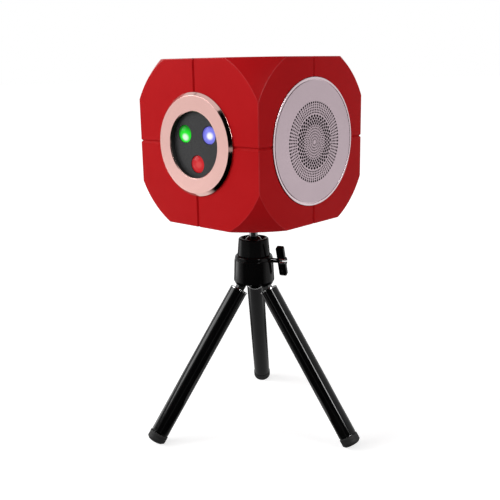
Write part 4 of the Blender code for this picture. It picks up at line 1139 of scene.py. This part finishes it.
def build_housing(place):
    """Upper part of the head: slightly tapered, with a rounded rim round the ball's dish."""
    low, high, wide = extent("head_housing", place)
    ball_height = (place.inverted() @ BALL_CENTRE).z
    seam = extent("crown", place)[1]
    top = high - 0.0001
    outline = filleted([
        (BOWL_RADIUS, low, 0.0),
        (wide, low, 0.0),
        (wide, seam + 0.0002, 0.0006),
        (HOUSING_TOP, top, 0.0011),
        (HOUSING_MOUTH, top, 0.0004),
        (BOWL_MOUTH, ball_height + 0.0029, 0.0003),
    ])
    lip = math.asin(BOWL_MOUTH / BOWL_RADIUS)
    outline += circle_points(BOWL_RADIUS, ball_height, lip, math.pi / 2, BOWL_STEPS)
    housing = cut(lathe(outline), screw_clearance(place))
    dressed("housing", housing, [HOUSING_BLACK], "base", place, ["head_housing"])


def tongue_slot(hinge_radius, spread_angle):
    """Room for one leg's tongue, drawn in the leg's own upright plane."""
    reach = TONGUE_HALF_WIDTH + GAP
    side = reach * math.cos(spread_angle)
    rise = reach * math.sin(spread_angle)
    run = 3 * TONGUE_HALF_WIDTH
    foot = rise - run * math.cos(spread_angle)
    outline = [
        (hinge_radius - reach, reach),
        (hinge_radius + reach, reach),
        (hinge_radius + reach, rise - (reach - side) / math.tan(spread_angle)),
        (hinge_radius + side + run * math.sin(spread_angle), foot),
        (hinge_radius - reach, foot),
    ]
    half = TONGUE_HALF_THICKNESS + GAP
    return moved(prism(outline, -half, half), rotation(90.0, "X"))


def leg_facts(number):
    """A leg's own axes, its hinge's distance and azimuth from the head's axis, and its lean."""
    fold = joints[f"leg_{number}_fold"]
    down = Vector(joints[f"leg_{number}_slide"]["axis"]).normalized()
    pin = Vector(fold["axis"]).normalized()
    origin = Vector(fold["pos_m"])
    axes = Matrix.Translation(origin) @ Matrix((pin, down.cross(pin), down)).transposed().to_4x4()
    offset = origin - BALL_CENTRE
    return axes, math.hypot(offset.x, offset.y), math.atan2(offset.y, offset.x), math.acos(-down.z)


def build_crown(place):
    """Lower part of the head, with a lipped shoulder and a slot and an arch for the legs."""
    low, high, wide = extent("crown", place)
    crown = turned(
        (0.0, low, 0.0),
        (0.0124, low, 0.0002),
        (wide, low + 0.0028, 0.0003),
        (0.0132, high - 0.0031, 0.0002),
        (0.01285, high - 0.0028, 0.0002),
        (0.0130, high - 0.0026, 0.0003),
        (0.0126, high - 0.0006, 0.0013),
        (0.0118, high, 0.0003),
        (CROWN_BORE, high, 0.0001),
        (CROWN_BORE, CROWN_FLOOR, 0.0),
        (0.0, CROWN_FLOOR, 0.0),
    )
    crown = cut(crown, screw_clearance(place))
    arch_radius = (ARCH_HALF ** 2 + ARCH_RISE ** 2) / (2 * ARCH_RISE)
    for number in (1, 2, 3):
        _, hinge_radius, azimuth, lean = leg_facts(number)
        turn = Matrix.Rotation(azimuth, 4, "Z")
        hole = moved(cylinder(HINGE_BORE, -PIN_REACH, PIN_REACH), rotation(90.0, "X"))
        arch = moved(cylinder(arch_radius, ARCH_START, ARCH_END, ARCH_SEGMENTS), rotation(90.0, "Y"))
        arch = moved(arch, at(0.0, 0.0, low + ARCH_RISE - arch_radius))
        crown = cut(crown, moved(tongue_slot(hinge_radius, lean), turn))
        crown = cut(crown, moved(hole, turn @ at(hinge_radius, 0.0)))
        crown = cut(crown, moved(arch, turn @ rotation(60.0, "Z")))
    dressed("crown_fine", crown, [BLACK_GLOSS], "base", place, ["crown"])


def wing_blade(span):
    """Both wings in one flat blade with a shallow pocket on each side of each."""
    thick = WING_THICKNESS / 2
    half = math.sqrt(span ** 2 - thick ** 2)
    wing_end = WING_START + WING_WIDTH
    outline = filleted([
        (-half, WING_START, 0.0011), (-half, wing_end, 0.0011),
        (-HUB_RADIUS, wing_end, 0.0008), (HUB_RADIUS, wing_end, 0.0008),
        (half, wing_end, 0.0011), (half, WING_START, 0.0011),
        (HUB_RADIUS, WING_START, 0.0008), (-HUB_RADIUS, WING_START, 0.0008),
    ])
    blade = moved(prism(outline, -thick, thick), UPRIGHT)
    run = (half - HUB_RADIUS) / 2
    pockets = []
    for side, face in four_ways(1, 1):
        pocket = rectangle(run - 0.0011, WING_WIDTH / 2 - 0.0010, 0.0006)
        tool = moved(prism(pocket, -WING_POCKET, WING_POCKET), UPRIGHT)
        centre = at(face * thick, side * (HUB_RADIUS + run + 0.0001), WING_START + WING_WIDTH / 2)
        pockets.append(moved(tool, centre))
    return cut(blade, *pockets)


def build_wing_screw():
    """Threaded shaft, slotted hub and two flat wings with a raised border."""
    place = screw_axes()
    low, high, span = extent("wing_screw", place)
    core = SHAFT_RADIUS - SHAFT_THREAD_DEPTH
    waist = HUB_RADIUS - HUB_WAIST
    outline = [(0.0, low), (SHAFT_RADIUS * 0.5, low), (core, low + SHAFT_RADIUS)]
    height = low + SHAFT_RADIUS
    while height + SHAFT_PITCH < HUB_START - 0.0008:
        outline += [(core, height), (SHAFT_RADIUS, height + SHAFT_PITCH / 2)]
        height += SHAFT_PITCH
    outline += filleted([
        (core, height, 0.0),
        (core, HUB_START, 0.0),
        (HUB_RADIUS, HUB_START, 0.0003),
        (HUB_RADIUS, HUB_START + 0.0011, 0.0001),
        (waist, HUB_START + 0.0014, 0.0001),
        (waist, high - 0.0014, 0.0001),
        (HUB_RADIUS, high - 0.0011, 0.0001),
        (HUB_RADIUS, high, 0.0005),
        (0.0, high, 0.0),
    ])
    whole = combined(lathe(outline, MEDIUM), moved(wing_blade(span), rotation(WING_TURN, "Z")), "UNION")
    paint(whole, 1, lambda centre: centre.z < WING_START - 0.0001)
    tip = rotation(HUB_TURN, "Z")
    for x, y in four_ways(HUB_RADIUS - BEAD_INSET, BEAD_OFFSET):
        bead = plug(BEAD_RADIUS, high - BEAD_START, high - BEAD_END, 0.0003, 0.0003, BEAD_SEGMENTS)
        paint(bead, 2)
        whole = combined(whole, moved(bead, tip @ at(x, y)), "UNION")
    slot = prism(rectangle(HUB_RADIUS + 0.001, HUB_SLOT), high - HUB_SLOT_DEPTH, high + 0.001)
    knob = cut(whole, moved(slot, tip))
    dressed("wing_knob", knob, [BLACK_GLOSS, CHROME, WORN_EDGE], "wing_screw", place,
            ["wing_screw"], bevel=KNOB_BEVEL)


# Legs

def build_knuckle(number, axes):
    """Flat tongue with a round end on the pin, and the stepped plug that fills the tube."""
    _, high, plug_radius = extent(f"leg_knuckle_{number}", axes)
    tube_low = extent(f"leg_tube_{number}", axes)[0]
    half, thick = TONGUE_HALF_WIDTH, TONGUE_HALF_THICKNESS
    outline = [(half, tube_low + TONGUE_ROOT), (-half, tube_low + TONGUE_ROOT)]
    outline += circle_points(half, 0.0, 1.5 * math.pi, 0.5 * math.pi, TONGUE_STEPS)
    tongue = moved(prism(outline, -thick, thick), UPRIGHT)
    hole = moved(cylinder(HINGE_BORE, -2 * thick, 2 * thick), rotation(90.0, "Y"))
    filler = plug(plug_radius, tube_low + GAP, high, 0.0006, 0.0003, MEDIUM)
    knuckle = cut(combined(filler, tongue, "UNION"), hole)
    dressed(f"knuckle_{number}", knuckle, [DARK_STEEL], f"leg_{number}", axes,
            [f"leg_knuckle_{number}"], bevel=KNUCKLE_BEVEL)


def build_tubes(number, axes):
    """Painted outer tube with rolled ends and a bright rim, and the telescopic sleeve in it."""
    low, high, radius = extent(f"leg_tube_{number}", axes)
    tube = turned(
        (radius - TUBE_WALL, low, 0.0003),
        (radius, low, 0.0004),
        (radius, low + 0.0011, 0.0001),
        (radius - ROLLED_END, low + 0.0013, 0.0001),
        (radius - ROLLED_END, high - 0.0008, 0.0001),
        (radius - 0.0003, high, 0.0002),
        (radius - TUBE_WALL, high, 0.0001),
    )
    paint(tube, 1, lambda centre: centre.z < low + BRIGHT_RIM)
    dressed(f"tube_{number}", tube, [BLACK_PAINT, RIM_BRIGHT], f"leg_{number}", axes,
            [f"leg_tube_{number}"])
    inner_low, inner_high, inner = extent(f"leg_inner_tube_{number}", axes)
    sleeve = turned(
        (inner - SLEEVE_WALL, inner_low, 0.0002),
        (inner, inner_low, 0.0003),
        (inner, inner_high, 0.0002),
        (inner - SLEEVE_WALL, inner_high, 0.0002),
        segments=MEDIUM,
    )
    dressed(f"sleeve_{number}", sleeve, [STEEL], f"leg_{number}_inner", axes,
            [f"leg_inner_tube_{number}"])


def build_foot(number, axes):
    """Soft cap with a rolled mouth, two shallow ribs and the flat it stands on."""
    socket = extent(f"leg_tube_{number}", axes)[2] - TUBE_WALL
    low, _, radius = extent(f"leg_foot_{number}", axes)
    radius -= FOOT_INSET
    end = low + FOOT_LENGTH
    foot = turned(
        (socket, low, 0.0002),
        (radius, low, 0.0005),
        (radius, low + 0.0022, 0.0003),
        (radius - 0.0001, low + 0.0027, 0.0003),
        (radius, low + 0.0032, 0.0003),
        (radius, end - 0.0014, 0.0009),
        (radius - 0.0016, end, 0.0012),
        (0.0, end, 0.0),
        (0.0, low + FOOT_SOCKET, 0.0),
        (socket, low + FOOT_SOCKET, 0.0),
    )
    ground = moved(prism(rectangle(1.0, 1.0), -1.0, 0.0), axes.inverted())
    foot = cut(foot, ground)
    dressed(f"rubber_foot_{number}", foot, [RUBBER], f"leg_{number}_inner", axes,
            [f"leg_foot_{number}"])


def finish_cad_nodes():
    for material, names in NODE_FINISHES:
        for name in names:
            mesh = frame["nodes"][name].data
            if not mesh.materials:
                mesh.materials.append(material)
            for i in range(len(mesh.materials)):
                mesh.materials[i] = material


build_body()
build_case_screws()
laser_face = face_place(FRONT)
glass_radius = own_radius("lens_green", FRONT) - LENS_FLANGE
build_bezel(laser_face)
build_window(laser_face, glass_radius)
build_lenses(laser_face, glass_radius)
build_grille("right", RIGHT)
build_grille("left", LEFT)
build_panel()
build_insert()
build_stud()
head = head_place()
build_housing(head)
build_crown(head)
build_wing_screw()
for leg_number in (1, 2, 3):
    leg_axes = leg_facts(leg_number)[0]
    build_knuckle(leg_number, leg_axes)
    build_tubes(leg_number, leg_axes)
    build_foot(leg_number, leg_axes)
finish_cad_nodes()


# Camera, light and floor

# The photograph's view: azimuth, elevation and roll, the camera from the cube's middle, and its lens
VIEW_ANGLES = (42.245, 13.754, -1.021)
CAMERA_OFFSET = Vector((0.333536, -0.370988, 0.046569))
FOCAL_LENGTH = 54.464

# Light from all round, the floor's own tone, and the glow that makes it white near and far
WHITE = (1.0, 1.0, 1.0, 1.0)
AMBIENT = 0.18
FLOOR_TONE = 0.60
FLOOR_GLOW = (0.70, 0.97)
FLOOR_GLOW_REACH = (0.12, 0.9)
FLOOR_RADIUS = 12.0
FLOOR_HEIGHT = -0.0002

# Cards round the object, whose two ends fade to white: first and last azimuth, how bright the rest
# is, and the section as (distance, height)
CARDS = (
    (-46.0, 116.0, 0.0, ((0.03, 0.001), (1.0, 0.001))),
    (-22.0, 98.0, 0.0, ((1.6, 0.06), (1.6, 2.1))),
    (-78.0, -8.0, 0.0, ((1.65, 0.55), (1.65, 2.1))),
    (8.0, 98.0, 0.5, ((1.0, 0.001), (1.6, 0.001), (1.6, 0.06))),
    (130.0, 320.0, 0.45, ((0.005, 0.001), (0.11, 0.001))),
    (176.0, 268.0, 0.1, ((0.11, 0.001), (0.72, 0.001))),
)
CARD_STEPS = 32
CARD_FADE_STEPS = 5


def towards(azimuth, elevation):
    """Direction seen from the object, with the azimuth counted as the views are."""
    turn, lift = math.radians(azimuth), math.radians(elevation)
    return Vector((math.sin(turn) * math.cos(lift), -math.cos(turn) * math.cos(lift), math.sin(lift)))


def build_camera():
    """The photograph's view of the cube: place, aim and lens."""
    back = towards(*VIEW_ANGLES[:2])
    roll = math.radians(VIEW_ANGLES[2])
    level = AXIS_Z.cross(back).normalized()
    upright = back.cross(level)
    right = level * math.cos(roll) + upright * math.sin(roll)
    up = upright * math.cos(roll) - level * math.sin(roll)
    data = bpy.data.cameras.new("camera")
    data.sensor_width = 36.0
    data.lens = FOCAL_LENGTH
    data.clip_start = 0.01
    data.clip_end = 50.0
    camera = add_object("camera", data)
    turn = Matrix((right, up, back)).transposed().to_4x4()
    camera.matrix_world = Matrix.Translation(CUBE_CENTRE + CAMERA_OFFSET) @ turn
    bpy.context.scene.camera = camera


def seen_directly(tree):
    """1 for rays that should meet the white backdrop: camera, glossy and transmission rays."""
    path = tree.nodes.new("ShaderNodeLightPath").outputs
    total = path["Is Camera Ray"]
    for name in ("Is Glossy Ray", "Is Transmission Ray"):
        total = calculated(tree, "ShaderNodeMath", "MAXIMUM", total, path[name])
    return total


def build_world():
    """White where it is seen directly, and a weaker light from all round."""
    world = bpy.data.worlds.new("studio")
    bpy.context.scene.world = world
    world.use_nodes = True
    tree = world.node_tree
    ambient = tree.nodes["Background"]
    set_inputs(ambient, {"Color": WHITE, "Strength": AMBIENT})
    backdrop = add_node(tree, "ShaderNodeBackground", {"Color": WHITE, "Strength": 1.0})
    mix = add_node(tree, "ShaderNodeMixShader", {
        "Fac": seen_directly(tree),
        1: ambient.outputs["Background"],
        2: backdrop.outputs["Background"],
    })
    set_inputs(tree.nodes["World Output"], {"Surface": mix.outputs["Shader"]})


def plain_material(name, tone):
    """One tone without any gloss."""
    material, tree, shader = new_material(name)
    set_inputs(shader, {"Base Color": (tone, tone, tone, 1.0), "Roughness": 1.0, "Specular IOR Level": 0.0})
    return material, tree, shader


def build_floor():
    """Pale sheet under the feet, white where it is seen directly but for the object's shadow."""
    material, tree, shader = plain_material("floor_white", FLOOR_TONE)
    distance = calculated(tree, "ShaderNodeVectorMath", "LENGTH", object_coordinates(tree))
    lift = spread(tree, distance, *FLOOR_GLOW, *FLOOR_GLOW_REACH)
    strength = calculated(tree, "ShaderNodeMath", "MULTIPLY", seen_directly(tree), lift)
    glow = add_node(tree, "ShaderNodeEmission", {"Strength": strength})
    added = add_node(tree, "ShaderNodeAddShader", {0: shader.outputs["BSDF"], 1: glow.outputs["Emission"]})
    set_inputs(tree.nodes["Material Output"], {"Surface": added.outputs["Shader"]})
    bm = bmesh.new()
    bmesh.ops.create_circle(bm, cap_ends=True, radius=FLOOR_RADIUS, segments=96)
    mesh = mesh_from("floor", bm)
    mesh.materials.append(material)
    floor = add_object("floor", mesh)
    floor.location = (0.0, 0.0, FLOOR_HEIGHT)


def build_cards():
    """Black and grey cards on the floor and behind the camera, that only reflections show."""
    material, tree, shader = plain_material("black_card", 0.0)
    sides = tree.nodes.new("ShaderNodeAttribute")
    sides.attribute_name = "fade"
    set_inputs(shader, {"Emission Color": WHITE, "Emission Strength": sides.outputs["Fac"]})
    bm = bmesh.new()
    fade = bm.verts.layers.float.new("fade")
    for first, last, glow, profile in CARDS:
        rows = []
        for radius, height in profile:
            row = []
            for step in range(CARD_STEPS + 1):
                turn = math.radians(first + (last - first) * step / CARD_STEPS)
                row.append(bm.verts.new((radius * math.sin(turn), -radius * math.cos(turn), height)))
                row[-1][fade] = max(glow, 1.0 - min(step, CARD_STEPS - step) / CARD_FADE_STEPS)
            rows.append(row)
        for low, high in zip(rows, rows[1:]):
            for i in range(CARD_STEPS):
                bm.faces.new((low[i], low[i + 1], high[i + 1], high[i]))
    mesh = mesh_from("black_cards", bm)
    mesh.materials.append(material)
    cards = add_object("black_cards", mesh)
    cards.visible_camera = False
    cards.visible_diffuse = False
    cards.visible_transmission = False
    cards.visible_shadow = False


def area_light(name, azimuth, elevation, distance, width, height, radiance, aim=0.13):
    """A softbox aimed at a height on the object's axis."""
    away = towards(azimuth, elevation)
    data = bpy.data.lights.new(name, "AREA")
    data.shape = "RECTANGLE"
    data.size = width
    data.size_y = height
    data.energy = 4.0 * radiance * width * height
    lamp = add_object(name, data)
    lamp.visible_camera = False
    lamp.location = Vector((BALL_CENTRE.x, BALL_CENTRE.y, aim)) + away * distance
    lamp.rotation_mode = "QUATERNION"
    lamp.rotation_quaternion = (-away).to_track_quat("-Z", "Y")
    return lamp


build_camera()
build_world()
build_floor()
build_cards()
area_light("key", -42.0, 28.0, 1.1, 0.62, 0.48, 6.0)
area_light("edge", 75.0, 35.0, 1.1, 0.15, 0.74, 23.0).visible_diffuse = False
area_light("side", -63.0, 32.0, 1.1, 0.14, 0.60, 7.0).visible_diffuse = False
area_light("fill", 102.0, 20.0, 1.3, 0.70, 0.80, 2.5).visible_glossy = False
area_light("front", 0.0, 25.0, 1.4, 1.0, 1.0, 1.5).visible_glossy = False
area_light("low_left", -68.0, 0.0, 0.45, 0.17, 0.08, 1.5, 0.045)
area_light("low_line", -78.0, 0.0, 0.44, 0.03, 0.08, 3.5, 0.045)

bpy.context.scene.view_settings.view_transform = "Standard"
